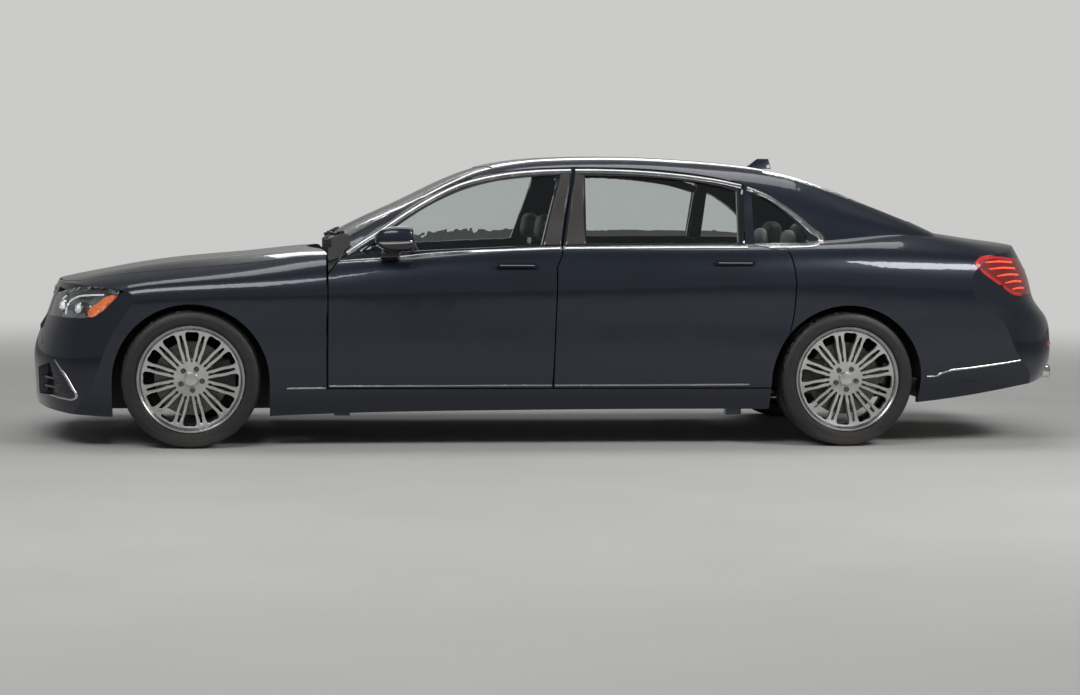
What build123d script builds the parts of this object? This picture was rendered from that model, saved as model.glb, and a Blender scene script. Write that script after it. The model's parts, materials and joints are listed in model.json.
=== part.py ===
from build123d import *
import os
from math import cos, radians, sin, sqrt, tan

# Long-wheelbase luxury sedan, left-hand drive. Millimetres, +X to the rear, +Y to the car's right, +Z up.
# The origin is on the floor, midway between the bumper tips, so every length runs from the two axles.

# ---------------------------------------------------------------- driving dimensions
wheelbase = 3365
front_overhang = 845
rear_overhang = 1243
body_width = 1899
body_height = 1498

skin = 45  # thickness of a body panel with its inner frame
lid_skin = 40
door_depth = 150  # thickness of a door at its waist
frame_skin = 50  # thickness of pillars, window frames and roof
shut_gap = 6.5  # gap round whatever opens
lid_clearance = 12  # space under the hood and the trunk lid

tyre_radius = 350
front_tyre_width = 245
rear_tyre_width = 265
front_wheel_y = 812  # middle of the tyre from the car's centre line
rear_wheel_y = 803
rim_radius = 272
rim_lip = 16
bead_radius = 254
spoke_pairs = 12
hub_radius = 78
spindle_radius = 33
spindle_clearance = 0.5
disc_radius = 190
disc_thickness = 34
kingpin_inset = 45  # kingpin axis, inboard of the middle of the tyre

front_arch_radius = 394
rear_arch_radius = 397
arch_z = 335
well_radius = 430
well_wall_y = 475
well_lip_y = 885
well_low_lip_y = 790  # the same below the middle of the arch, where the skin tucks under

glass_inset = 4
glass_thickness = 5
glass_edge = 4  # glass stands this far inside its opening

front_x = -(front_overhang + wheelbase + rear_overhang) / 2 + front_overhang  # front axle
rear_x = front_x + wheelbase  # rear axle
half = body_width / 2
flank_bulge = 9.4  # the flank's curve stands this far outside its points

os.makedirs("parts", exist_ok=True)


def finish(piece, name):
    """Label a finished piece and write its file."""
    piece.part.label = name
    export_step(piece.part, f"parts/{name}.step")


# ---------------------------------------------------------------- outer form of the lower body
# One row per cross-section: place along X, height of the underside, then half widths below `half` at
# sill, lower door and waist, then (half width, height) of shoulder, belt and top edge, then the
# heights of the top at 350 mm off the centre line and on it.
LOWER_SECTIONS = [
    (front_x - 950, 205, 100, 45, 35, (885, 692), (800, 716), (650, 732), 748, 756),
    (front_x - 700, 180, 82, 35, 25, (897, 720), (800, 772), (650, 800), 826, 833),
    (front_x - 500, 160, 70, 28, 18, (905, 768), (800, 818), (650, 851), 869, 875),
    (front_x - 250, 150, 64, 22, 12, (912, 812), (805, 862), (650, 898), 911, 915),
    (front_x, 150, 60, 18, 8, (918, 832), (805, 892), (650, 929), 940, 944),
    (front_x + 300, 155, 58, 16, 6, (922, 847), (812, 922), (660, 958), 968, 972),
    (front_x + 650, 168, 56, 14, 5, (927, 858), (835, 955), (690, 992), 1004, 1008),
    (front_x + 1000, 178, 54, 12, 4, (932, 864), (862, 968), (700, 990), 1002, 1006),
    (front_x + 1550, 185, 52, 10, 2, (937, 874), (862, 1008), (700, 1020), 1030, 1034),
    (front_x + 2200, 190, 50, 8, 0, (941, 888), (862, 1026), (700, 1036), 1044, 1048),
    (rear_x - 565, 190, 50, 8, 0, (943, 908), (860, 1033), (700, 1044), 1052, 1056),
    (rear_x, 195, 55, 10, 2, (935, 935), (845, 1050), (700, 1078), 1088, 1092),
    (rear_x + 335, 215, 65, 20, 8, (921, 945), (818, 1058), (695, 1106), 1122, 1128),
    (rear_x + 635, 250, 80, 34, 20, (904, 946), (798, 1038), (690, 1070), 1092, 1098),
    (rear_x + 885, 292, 100, 54, 38, (884, 938), (784, 1003), (680, 1031), 1056, 1063),
    (rear_x + 1085, 330, 115, 70, 52, (868, 924), (770, 976), (670, 1003), 1030, 1038),
    (rear_x + 1335, 350, 130, 85, 66, (850, 902), (760, 948), (660, 974), 1002, 1010),
]
low_z = 450  # heights of the lower door and waist points
waist_z = 670
sill_rise = 75  # the sill point stands this far above the underside
low_rise = 110  # the lower door point stands at least this far above the sill point
tuck = 45  # the underside's edge stands this far inside the sill

# One row per level: height, front and rear face on the centre line, from the axles.
FOOTPRINT_LEVELS = [
    (60, -790, 1130),
    (215, -833, 1150),
    (330, -842, 1195),
    (464, -front_overhang + 1.9, rear_overhang - 0.6),
    (560, -822, 1239),
    (660, -783, 1214),
    (745, -752, 1150),
    (830, -715, 1122),
    (900, -682, 1098),
    (985, -640, 1052),
    (1060, -600, 1005),
    (1200, -520, 900),
]
# How far the bumper corners stand back from the faces at each half width.
FRONT_CORNER = [(8, 250), (35, 450), (80, 600), (140, 720), (215, 810), (300, 872), (395, 912), (510, 938), (660, 955)]
REAR_CORNER = [(760, 960), (610, 946), (460, 922), (335, 886), (235, 832), (152, 762), (82, 650), (35, 500), (10, 300)]
flank = 965  # half width of the footprint at the doors, outside the flanks


def curve(points, spacing):
    """A smooth curve through points, with the spacing of its points taken from another such curve."""
    steps = [(Vector(*b) - Vector(*a)).length for a, b in zip(spacing, spacing[1:])]
    places = [sum(steps[:i]) / sum(steps) for i in range(len(points))]
    return Edge.make_spline([Vector(*p) for p in points], parameters=places)


def both_sides(points):
    """A half outline that ends on the centre line, carried on to the other side."""
    return [(y, z) for y, z in points] + [(-y, z) for y, z in points[-2::-1]]


def lower_outline(row, inset):
    x, bottom, sill, low, waist, shoulder, belt, edge, mid, crown = row
    wide = half - flank_bulge - inset
    points = [
        (wide - sill - tuck, bottom + inset),
        (wide - sill, bottom + sill_rise + inset),
        (wide - low, max(low_z, bottom + sill_rise + low_rise) + 0.2 * inset),
        (wide - waist, waist_z),
        (shoulder[0] - inset, shoulder[1] - 0.3 * inset),
        (belt[0] - 0.8 * inset, belt[1] - 0.7 * inset),
        (edge[0] - 0.3 * inset, edge[1] - inset),
        (350, mid - inset),
        (0, crown - inset),
    ]
    return both_sides(points)


def lower_body(inset):
    """The lower body's outer form, moved inwards by inset."""
    middle = lower_outline(LOWER_SECTIONS[9], 0)
    with BuildPart() as form:
        for row in LOWER_SECTIONS:
            points = lower_outline(row, inset)
            with BuildSketch(Plane.YZ.offset(row[0])):
                with BuildLine():
                    add(curve(points, middle))
                    Line(points[-1], points[0])
                make_face()
        loft()
    with BuildPart() as footprint:
        for z, nose, tail in FOOTPRINT_LEVELS:
            nose_x = front_x + nose + inset
            tail_x = rear_x + tail - inset
            side = [(nose_x, 0)]
            side += [(nose_x + back, y - inset) for back, y in FRONT_CORNER]
            side += [(front_x + wheelbase / 2, flank - inset)]
            side += [(tail_x - back, y - inset) for back, y in REAR_CORNER]
            side += [(tail_x, 0)]
            if z == FOOTPRINT_LEVELS[0][0]:
                even = side
            other = [(x, -y) for x, y in side[::-1]]
            with BuildSketch(Plane.XY.offset(z)):
                with BuildLine():
                    add(curve(side, even))
                    add(curve(other, even))
                make_face()
        loft()
    return form.part & footprint.part


# ---------------------------------------------------------------- outer form of the greenhouse
# One row per cross-section: place, height on the centre line, then half width and height where the
# side turns over into windscreen, roof or rear window.
GREENHOUSE_SECTIONS = [
    (front_x + 560, 985, 850, 935),
    (front_x + 700, 1062, 824, 988),
    (front_x + 820, 1133, 800, 1048),
    (front_x + 956, 1197, 768, 1132),
    (front_x + 1094, 1258, 734, 1215),
    (front_x + 1311, 1364, 690, 1334),
    (front_x + 1474, 1431, 662, 1390),
    (front_x + 1637, 1468, 646, 1420),
    (front_x + 1966, body_height - 3, 634, 1442),
    (front_x + 2300, body_height, 630, 1443),
    (rear_x - 665, body_height - 18, 628, 1408),
    (rear_x - 365, body_height - 48, 628, 1350),
    (rear_x - 128, body_height - 104, 634, 1290),
    (rear_x + 95, body_height - 194, 648, 1228),
    (rear_x + 317, body_height - 286, 668, 1162),
    (rear_x + 485, body_height - 363, 692, 1100),
    (rear_x + 585, body_height - 413, 712, 1055),
]
base_z = 860
base_y = 922
side_bulge = 9


def greenhouse_outline(row, inset):
    x, top, turn_y, turn_z = row
    rise = top - turn_z
    points = [(base_y - inset, base_z)]
    for share in (0.3, 0.66):
        points += [(base_y + share * (turn_y - base_y) + side_bulge - inset, base_z + share * (turn_z - base_z))]
    points += [
        (turn_y - 0.9 * inset, turn_z - 0.5 * inset),
        (turn_y * 0.93 - 0.4 * inset, turn_z + 0.4 * rise - inset),
        (turn_y * 0.6, turn_z + 0.84 * rise - inset),
        (0, top - inset),
    ]
    return both_sides(points)


def greenhouse(inset):
    """The form of windscreen, roof, side glass and rear window, moved inwards by inset."""
    middle = greenhouse_outline(GREENHOUSE_SECTIONS[8], 0)
    with BuildPart() as form:
        for row in GREENHOUSE_SECTIONS:
            points = greenhouse_outline(row, inset)
            with BuildSketch(Plane.YZ.offset(row[0])):
                with BuildLine():
                    add(curve(points, middle))
                    Line(points[-1], points[0])
                make_face()
        loft()
    return form.part


# ---------------------------------------------------------------- cutters
def outline_edges(runs):
    """The edges of an outline: two points make a line, more make a smooth curve."""
    edges = []
    for run in runs:
        points = [Vector(*p) for p in run]
        edges.append(Edge.make_line(*points) if len(points) == 2 else Edge.make_spline(points))
    return edges


def side_block(runs, near=400, far=1000):
    """A block on the left with an outline in the side view, between two distances off the centre line."""
    with BuildPart() as block:
        with BuildSketch(Plane.XZ.offset(near)):
            with BuildLine():
                add(outline_edges(runs))
            make_face()
        extrude(amount=far - near)
    return block.part


def top_block(runs, low, high):
    """A block with an outline seen from above, between two heights."""
    with BuildPart() as block:
        with BuildSketch(Plane.XY.offset(low)):
            with BuildLine():
                add(outline_edges(runs))
            make_face()
        extrude(amount=high - low)
    return block.part


def front_block(runs, x0, x1):
    """A block along the car with an outline seen from the front, (y, z)."""
    with BuildPart() as block:
        with BuildSketch(Plane.YZ.offset(x0)):
            with BuildLine():
                add(outline_edges(runs))
            make_face()
        extrude(amount=x1 - x0)
    return block.part


def closed(points):
    """The straight runs round a polygon."""
    return [[a, b] for a, b in zip(points, points[1:] + points[:1])]


def box_between(low, high):
    """A box from its lowest corner to its highest."""
    size = [b - a for a, b in zip(low, high)]
    with BuildPart() as block:
        with Locations(tuple((a + b) / 2 for a, b in zip(low, high))):
            Box(*size)
    return block.part


def mirrored(piece):
    with BuildPart() as other:
        mirror(piece, about=Plane.XZ, mode=Mode.ADD)
    return other.part


def box_beside(side, x, y, z):
    """A box given by three ranges, on the left for side -1 and on the right for side 1."""
    near, far = sorted(side * edge for edge in y)
    return box_between((x[0], near, z[0]), (x[1], far, z[1]))


def drum(x, z, near, far, radius):
    """A cylinder across the car, between two places along Y."""
    with BuildPart() as body:
        with BuildSketch(Plane.XZ.offset(-near)):
            with Locations((x, z)):
                Circle(radius)
        extrude(amount=near - far)
    return body.part


def largest(piece):
    """The piece's main solid, without the slivers that a cut leaves."""
    return piece.solids().sort_by(SortBy.VOLUME)[-1]


def flank_y(z):
    """About how far out the skin stands at a height: upright below the belt, leaning in above it."""
    return 943 if z < 900 else 866 - 0.51 * (z - 1010)


# ---------------------------------------------------------------- door outlines, in the side view
door_front_x = front_x + 688
split_low_x = front_x + 1832  # where front and rear door meet, at the sill
split_waist_x = front_x + 1841
split_belt_x = front_x + 1879
split_top_x = front_x + 1955
door_bottom_z = 306
plug_inner_y = 588
frame_top_z = 1428
belt_front_z = 950
belt_rear_z = 1030
divider_x = rear_x - 500
quarter_tip_x = rear_x - 118

CANTRAIL = [
    (front_x + 780, 1000),
    (front_x + 853, 1052),
    (front_x + 1058, 1184),
    (front_x + 1263, 1303),
    (front_x + 1469, 1380),
    (front_x + 1676, 1414),
    (split_top_x, frame_top_z),
]
REAR_CANTRAIL = [
    (split_top_x, frame_top_z),
    (front_x + 2302, 1424),
    (rear_x - 747, 1396),
    (rear_x - 641, 1378),
    (divider_x, 1345),
]


def rear_edge(points, lean_at, depth):
    """Rear shut line of a door at one distance off the centre line; it leans so that the door can swing."""
    return [(x - lean_at(z) * (flank_y(z) - depth), z) for x, z in points]


def lean(z):
    return 0.16 if z < 950 else 0.38


def front_door_outline(grow, depth):
    edge = rear_edge(
        [(split_top_x, frame_top_z), (split_belt_x, 1030), (split_waist_x, 920), (split_low_x, door_bottom_z)],
        lean,
        depth,
    )
    side = [(x + grow, z) for x, z in edge]
    side[0] = (side[0][0], side[0][1] + grow)
    side[-1] = (side[-1][0], side[-1][1] - grow)
    top = [(x - 0.5 * grow, z + 0.85 * grow) for x, z in CANTRAIL[:-1]]
    front_low = (door_front_x - grow, door_bottom_z - grow)
    front_high = (door_front_x - grow, 880)
    return [
        [front_low, front_high],
        [front_high, top[0]],
        top + [side[0]],
        [side[0], side[1]],
        [side[1], side[2]],
        [side[2], side[3]],
        [side[3], front_low],
    ]


def rear_door_outline(grow, depth, front_gap):
    front = [
        (split_low_x + front_gap, door_bottom_z),
        (split_waist_x + front_gap, 920),
        (split_belt_x + front_gap, 1030),
        (split_top_x + front_gap, frame_top_z),
    ]
    edge = rear_edge(
        [(divider_x, 1345), (divider_x - 26, 1046), (rear_x - 330, 1006), (rear_x - 285, 840), (rear_x - 292, 690)],
        lean,
        depth,
    )
    side = [(x + grow, z) for x, z in edge]
    side[0] = (side[0][0], side[0][1] + grow)
    low_rear = (rear_x - 360, door_bottom_z - grow)
    top = [(x, z + grow) for x, z in REAR_CANTRAIL[1:-1]]
    start = (front[0][0], front[0][1] - grow)
    return [
        [start, front[1]],
        [front[1], front[2]],
        [front[2], (front[3][0], front[3][1] + grow)],
        [(front[3][0], front[3][1] + grow)] + top + [side[0]],
        [side[0], side[1]],
        [side[1], side[2]],
        [side[2], side[3]],
        [side[3], side[4]],
        [side[4], low_rear],
        [low_rear, start],
    ]


def door_plug(outline, *args):
    """A block whose side outline changes from the cabin outwards."""
    with BuildPart() as plug:
        for depth in (plug_inner_y, 1000):
            with BuildSketch(Plane.XZ.offset(depth)):
                with BuildLine():
                    add(outline_edges(outline(args[0], depth, *args[1:])))
                make_face()
        loft(ruled=True)
    return plug.part

# ---------------------------------------------------------------- outer forms and cavities
outer_low = lower_body(0)
outer_top = greenhouse(0)
outer = outer_low + outer_top
under_skin = lower_body(skin)
under_lid = lower_body(lid_skin)
inner_top = greenhouse(frame_skin)

cabin_front_x = front_x + 700
cabin_rear_x = rear_x - 30
cabin_tail_x = rear_x + 430
floor_z = 290
cabin_y = half - door_depth
shelf_z = 960
bay_y = 455
trunk_y = 545

with BuildPart() as cabin:
    add(inner_top & box_between((cabin_front_x, -900, shelf_z), (cabin_tail_x, 900, body_height)))
    add(box_between((cabin_front_x, -cabin_y, floor_z), (cabin_rear_x, cabin_y, shelf_z)))


def wheel_well(x, radius, wall_y):
    """The space for one wheel on the left: a narrower arch at the skin, wider behind it."""
    with BuildPart() as well:
        with BuildSketch(Plane.XZ.offset(well_lip_y)):
            with Locations((x, arch_z)):
                Circle(radius)
        extrude(amount=200)
        add(box_between((x - radius, -well_lip_y - 200, arch_z - 2 * radius), (x + radius, -well_low_lip_y, arch_z)))
        with BuildSketch(Plane.XZ.offset(wall_y)):
            with Locations((x, arch_z)):
                Circle(well_radius)
                with Locations((0, -well_radius)):
                    Rectangle(2 * well_radius, 2 * well_radius, mode=Mode.SUBTRACT)
        extrude(amount=well_lip_y - wall_y)
        low_room = box_between((x - well_radius, -well_low_lip_y, arch_z - 2 * well_radius), (x + well_radius, -wall_y, arch_z))
        add(low_room)
    return well.part


front_wall_y = 475
rear_wall_y = 560
wells_left = wheel_well(front_x, front_arch_radius, front_wall_y) + wheel_well(rear_x, rear_arch_radius, rear_wall_y)
wells = wells_left + mirrored(wells_left)

# ---------------------------------------------------------------- doors
hinge_back = 60  # hinge axis behind the shut line
hinge_y = 920  # hinge axis from the centre line
hinge_heights = (510, 740)
hinge_tall = 60
hinge_pin_radius = 5
hinge_play = 0.4
hinge_wall = 24
hinge_reach = 112
pocket_gap = 7
front_hinge_x = door_front_x + hinge_back
rear_hinge_x = split_waist_x + shut_gap + hinge_back

pillar_front_low = split_low_x - 97
pillar_rear_low = split_low_x - 8
pillar_front_top = split_top_x - 70
pillar_rear_top = split_top_x + 45
pillar_top_z = 1440


def pillar_outline(grow):
    """The centre pillar in the side view."""
    low, high = floor_z - 100, frame_top_z + 60
    return closed(
        [
            (pillar_front_low - grow, low),
            (pillar_front_top - grow, high),
            (pillar_rear_top + grow, high),
            (pillar_rear_low + grow, low),
        ]
    )


# Half widths of the pillar's outer side, and of the inner side of the doors' edges that pass it.
PILLAR_SECTION = [(-841, 190), (-841, 874), (-812, 1008), (-595, pillar_top_z), (-563, pillar_top_z), (-765, 1008), (-770, 300), (-770, 190)]
EDGE_SECTION = [(-893, 100), (-887, 874), (-821, 1008), (-574, 1500), (-500, 1500), (-500, 100)]
pillar_span = (pillar_front_low - 20, pillar_rear_top + 60)
pillar = side_block(pillar_outline(0), 500, 1000) & front_block(closed(PILLAR_SECTION), *pillar_span)
pillar_space = side_block(pillar_outline(pocket_gap), 500, 1000) & front_block(closed(EDGE_SECTION), *pillar_span)

FRONT_WINDOW = [
    [(front_x + 850, 985), (front_x + 1775, 1032)],
    [(front_x + 1775, 1032), (front_x + 1882, 1392)],
    [
        (front_x + 1882, 1392),
        (front_x + 1676, 1376),
        (front_x + 1469, 1340),
        (front_x + 1263, 1262),
        (front_x + 1058, 1140),
        (front_x + 850, 1003),
    ],
    [(front_x + 850, 1003), (front_x + 850, 985)],
]
REAR_WINDOW = [
    [(front_x + 2005, 1038), (rear_x - 562, 1046)],
    [(rear_x - 562, 1046), (rear_x - 545, 1316)],
    [(rear_x - 545, 1316), (rear_x - 641, 1340), (rear_x - 747, 1358), (front_x + 2302, 1386), (front_x + 2015, 1390)],
    [(front_x + 2015, 1390), (front_x + 2005, 1038)],
]
QUARTER_WINDOW = [
    [(rear_x - 477, 1050), (rear_x - 472, 1314)],
    [
        (rear_x - 472, 1314),
        (rear_x - 429, 1294),
        (rear_x - 321, 1224),
        (rear_x - 268, 1174),
        (rear_x - 214, 1116),
        (rear_x - 190, 1062),
    ],
    [(rear_x - 190, 1062), (rear_x - 202, 1050)],
    [(rear_x - 202, 1050), (rear_x - 477, 1050)],
]
glass_outer = greenhouse(glass_inset)
glass_inner = greenhouse(glass_inset + glass_thickness)


def hinge_pocket(x):
    """Room in a door for the two hinges of its front edge."""
    with BuildPart() as pocket:
        for z in hinge_heights:
            low = (x - hinge_back - 20, -hinge_y - hinge_pin_radius - 1.5, z - pocket_gap)
            high = (x + hinge_wall / 2 + pocket_gap, -hinge_y + 200, z + hinge_tall + pocket_gap)
            add(box_between(low, high))
            with BuildSketch(Plane.XY.offset(z - 20)):
                with Locations((x, -hinge_y)):
                    Circle(hinge_pin_radius + hinge_play)
            extrude(amount=hinge_tall + 40)
    return pocket.part


def hinge_brackets(x, reach_x):
    """Two goosenecks on the body with their pins."""
    arm = hinge_pin_radius
    root_y = -hinge_y + hinge_reach
    with BuildPart() as brackets:
        for z in hinge_heights:
            add(box_between((x - arm, -hinge_y, z), (x + arm, root_y, z + hinge_tall)))
            add(box_between((reach_x, root_y - hinge_wall, z), (x, root_y, z + hinge_tall)))
            with BuildSketch(Plane.XY.offset(z - 18)):
                with Locations((x, -hinge_y)):
                    Circle(hinge_pin_radius)
            extrude(amount=hinge_tall + 36)
    return brackets.part


handle_long = 212
handle_tall = 22
handle_out = 948
handle_thick = 12
foot_inset = 22


def handle(x, z):
    """A pull bar on two feet."""
    with BuildPart() as bar:
        with Locations((x + handle_long / 2, -handle_out + handle_thick / 2, z)):
            Box(handle_long, handle_thick, handle_tall)
        fillet(bar.edges().filter_by(Axis.Y), handle_tall / 2 - 0.5)
        for foot_x in (x + foot_inset, x + handle_long - foot_inset):
            with Locations((foot_x, -handle_out + 24, z)):
                Box(30, 40, handle_tall - 4)
    return bar.part


front_plug = door_plug(front_door_outline, 0)
front_opening = door_plug(front_door_outline, shut_gap)
rear_plug = door_plug(rear_door_outline, 0, shut_gap)
rear_opening = door_plug(rear_door_outline, shut_gap, 0)
front_window = side_block(FRONT_WINDOW, 560, 1000)
rear_window_block = side_block(REAR_WINDOW, 560, 1000)
quarter_block = side_block(QUARTER_WINDOW, 560, 1000)

with BuildPart() as door_front_left:
    add((outer & front_plug) - cabin.part - front_window - pillar_space - hinge_pocket(front_hinge_x))
    door_inside = box_between((door_front_x - 10, -cabin_y, 0), (cabin_front_x + 10, 0, shelf_z))
    add(door_inside, mode=Mode.SUBTRACT)
    add(handle(front_x + 1534, 932))
with BuildPart() as door_rear_left:
    add((outer & rear_plug) - cabin.part - wells_left - rear_window_block - pillar_space)
    add(hinge_pocket(rear_hinge_x), mode=Mode.SUBTRACT)
    add(front_opening, mode=Mode.SUBTRACT)
    add(handle(rear_x - 708, 950))
with BuildPart() as door_front_right:
    mirror(door_front_left.part, about=Plane.XZ)
with BuildPart() as door_rear_right:
    mirror(door_rear_left.part, about=Plane.XZ)
with BuildPart() as glass_front_left:
    add((glass_outer & front_window) - glass_inner)
with BuildPart() as glass_rear_left:
    add((glass_outer & rear_window_block) - glass_inner)
with BuildPart() as glass_front_right:
    mirror(glass_front_left.part, about=Plane.XZ)
with BuildPart() as glass_rear_right:
    mirror(glass_rear_left.part, about=Plane.XZ)

# ---------------------------------------------------------------- panels of the nose
hood_corner = (684, 792)  # rear corner of the hood, from the front axle and the centre line
nose_tip_x = front_x - 1000  # any place ahead of the bumper


def hood_outline(grow):
    """Half of the hood seen from above, carried on to the other side."""
    half_front = [(-705, 0), (-694, 260), (-650, 480), (-560, 640)]
    half_side = [(-560, 640), (-200, 728), (250, 772), hood_corner]
    half_rear = [hood_corner, (640, 480), (590, 0)]
    front = [(front_x + x - grow, y + 0.4 * grow * (y > 0)) for x, y in half_front]
    front[-1] = (front_x - 560 - grow, 640 + grow)
    side = [front[-1]] + [(front_x + x, y + grow) for x, y in half_side[1:-1]]
    side += [(front_x + hood_corner[0] + grow, hood_corner[1] + grow)]
    rear = [side[-1]] + [(front_x + x + grow, y) for x, y in half_rear[1:]]

    def over(run):
        return [(x, -y) for x, y in run[::-1]]

    return [over(front)[:-1] + front, side, rear + over(rear)[1:], over(side)]


hood_low, hood_high = 780, 1100
hood_block = top_block(hood_outline(0), hood_low + shut_gap, hood_high)
hood_opening = top_block(hood_outline(shut_gap), hood_low, hood_high)

lamp_near = 505
HEADLAMP = [
    [(front_x - 327, 794), (front_x - 420, 806), (front_x - 560, 808), (front_x - 660, 780), (front_x - 900, 740)],
    [(front_x - 900, 740), (front_x - 900, 648)],
    [(front_x - 900, 648), (front_x - 560, 647)],
    [(front_x - 560, 647), (front_x - 481, 661), (front_x - 420, 708), (front_x - 327, 794)],
]
headlamp_block = side_block(HEADLAMP, lamp_near, 1000)
bumper_top_z = 652
BUMPER_FRONT = [
    (nose_tip_x, 0),
    (nose_tip_x, bumper_top_z),
    (front_x - 560, bumper_top_z),
    (front_x - 470, 662),
    (front_x - 330, 560),
    (front_x - 330, 0),
]
bumper_side = side_block(closed(BUMPER_FRONT), 0, 1000)
nose_back_x = front_x - 600
nose_panel = box_between((nose_tip_x, -lamp_near, bumper_top_z), (nose_back_x, lamp_near, 900)) - hood_opening
front_bumper_block = bumper_side + mirrored(bumper_side) + nose_panel

grille_half = 425
grille_low, grille_high = 425, 780
grille_lip = 22  # width of the grille's frame, seen from the front
grille_depth = 70
slat_tall = 14
slats = 4
slat_inset = 14  # the slats stand this far behind the frame
slat_form = lower_body(slat_inset)


def grille_outline(shrink):
    low, high = grille_low + shrink, grille_high - shrink
    wide, narrow = grille_half - shrink, 330 - shrink
    swell = (wide + 14, 0.5 * (low + high) + 60)
    return [
        [(-wide, high), (wide, high)],
        [(wide, high), swell, (narrow, low)],
        [(narrow, low), (-narrow, low)],
        [(-narrow, low), (-swell[0], swell[1]), (-wide, high)],
    ]


grille_back = [(front_x - 775, grille_low), (front_x - 775, 600), (front_x - 662, grille_high)]
grille_side = closed([(nose_tip_x, grille_low)] + grille_back + [(nose_tip_x, grille_high)])
grille_hole = front_block(grille_outline(0), nose_tip_x, nose_back_x)
grille_room = grille_hole & side_block(grille_side, -600, 600)
grille_inside = front_block(grille_outline(grille_lip), nose_tip_x, nose_back_x)
back_plate = closed([(x - 14, z) for x, z in grille_back] + grille_back[::-1])
with BuildPart() as grille:
    add((outer_low & grille_room) - grille_inside)
    pitch = (grille_high - grille_low - 2 * grille_lip) / (slats + 1)
    for i in range(slats):
        z = grille_low + grille_lip + (i + 1) * pitch
        bar = box_between((nose_tip_x, -500, z - slat_tall / 2), (nose_back_x, 500, z + slat_tall / 2))
        add(slat_form & (bar & grille_room))
    add(slat_form & (box_between((nose_tip_x, -9, 0), (nose_back_x, 9, 900)) & grille_room))
    add(grille_hole & side_block(back_plate, -600, 600))

CENTRE_INTAKE = [(-400, 250), (400, 250), (370, 385), (-370, 385)]
SIDE_INTAKE = [(-770, 262), (-520, 250), (-520, 385), (-700, 420)]
centre_intake = front_block(closed(CENTRE_INTAKE), nose_tip_x, front_x - 803)
side_room = top_block(
    closed([(nose_tip_x, -500), (front_x - 752, -500), (front_x - 612, -790), (nose_tip_x, -790)]), 200, 500
)
side_intake = front_block(closed(SIDE_INTAKE), nose_tip_x, front_x - 500) & side_room
intake_space = centre_intake + side_intake + mirrored(side_intake)
beam_x = front_x - 700  # the bumper rests on the beam here
tuck_y, tuck_z = 790, 305  # the bumpers' wall reaches further in below this height
BUMPER_CORE = [(beam_x, 0), (beam_x, 480), (front_x - 640, 610), (front_x - 560, 730), (front_x - 465, 870)]
BUMPER_CORE += [(front_x - 300, 870), (front_x - 300, 0)]
bumper_core = top_block(closed(BUMPER_CORE), tuck_z, bumper_top_z + 12)
bumper_core = bumper_core + top_block(closed([(x, min(y, tuck_y)) for x, y in BUMPER_CORE]), 0, tuck_z)
with BuildPart() as front_bumper:
    add((outer_low & front_bumper_block) - bumper_core - mirrored(bumper_core) - grille_hole - intake_space - wells)
    for z in (295, 340):
        bar = box_between((nose_tip_x, -800, z - 5), (front_x - 400, 800, z + 5))
        add(slat_form & (bar & intake_space))

LAMP_CORE = [(front_x - 640, 500), (front_x - 520, 690), (front_x - 400, 790), (front_x - 300, 820), (front_x - 300, 500)]
lamp_core = mirrored(top_block(closed(LAMP_CORE), 600, 900))
with BuildPart() as headlamps:
    add((outer_low & headlamp_block) - lamp_core - hood_opening - front_bumper_block - wells)
    mirror(headlamps.part, about=Plane.XZ)

hood_hinge_x = front_x + 672
hood_hinge_z = 972
hood_hinge_y = (556, 600)
hood_pin_radius = 7
with BuildPart() as hood:
    add((outer_low & hood_block) - under_skin)
    for side in (-1, 1):
        add(lower_body(6) & box_beside(side, (hood_hinge_x - 120, hood_hinge_x + 14), hood_hinge_y, (945, 984)))
    add(drum(hood_hinge_x, hood_hinge_z, -620, 620, hood_pin_radius + hinge_play), mode=Mode.SUBTRACT)

fender_bottom_z = 296
fender_rear_x = door_front_x - shut_gap
panel_inner_y = 870  # inner side of fenders and quarter panels
fender_region = box_between((front_x - 700, -1000, fender_bottom_z), (fender_rear_x, -lamp_near, 1100))
FENDER_CORE_FRONT = [(-panel_inner_y, 0), (-panel_inner_y, 705), (-640, 790), (-500, 800), (-500, 0)]
FENDER_CORE_REAR = [(-panel_inner_y, 0), (-panel_inner_y, 795), (-640, 870), (-500, 880), (-500, 0)]
fender_core = front_block(closed(FENDER_CORE_FRONT), front_x - 800, front_x - 250)
fender_core = fender_core + front_block(closed(FENDER_CORE_REAR), front_x - 250, front_x + 800)
fender_cut = hood_opening + headlamp_block + front_bumper_block + wells_left + fender_core
edge_relief = box_between((fender_rear_x - 5, -936, 0), (fender_rear_x + 1, -500, 1100))  # the door's front edge swings past it
with BuildPart() as fender_left:
    add(largest((outer_low & fender_region) - fender_cut - edge_relief))
with BuildPart() as fender_right:
    mirror(fender_left.part, about=Plane.XZ)

# ---------------------------------------------------------------- panels of the tail
lid_front_x = rear_x + 517
lid_half = 590
lid_bottom_z = 744
lid_front_gap = 14
tail_end_x = rear_x + 1400  # any place behind the bumper
lid_block = box_between((lid_front_x, -lid_half, lid_bottom_z), (tail_end_x, lid_half, 1300))
lid_opening = box_between(
    (lid_front_x - lid_front_gap, -lid_half - shut_gap, lid_bottom_z - shut_gap),
    (tail_end_x, lid_half + shut_gap, 1300),
)
lid_hinge_x = lid_front_x
lid_hinge_z = 1106
lid_hinge_y = (330, 370)
lid_pin_radius = 6
TAIL_LAMP = [
    [(rear_x + 661, 945), (rear_x + 715, 988)],
    [(rear_x + 715, 988), (rear_x + 1330, 950)],
    [(rear_x + 1330, 950), (rear_x + 1330, 776)],
    [(rear_x + 1330, 776), (rear_x + 900, 788)],
    [(rear_x + 900, 788), (rear_x + 833, 831), (rear_x + 751, 883), (rear_x + 661, 945)],
]
tail_near = lid_half + shut_gap
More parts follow.
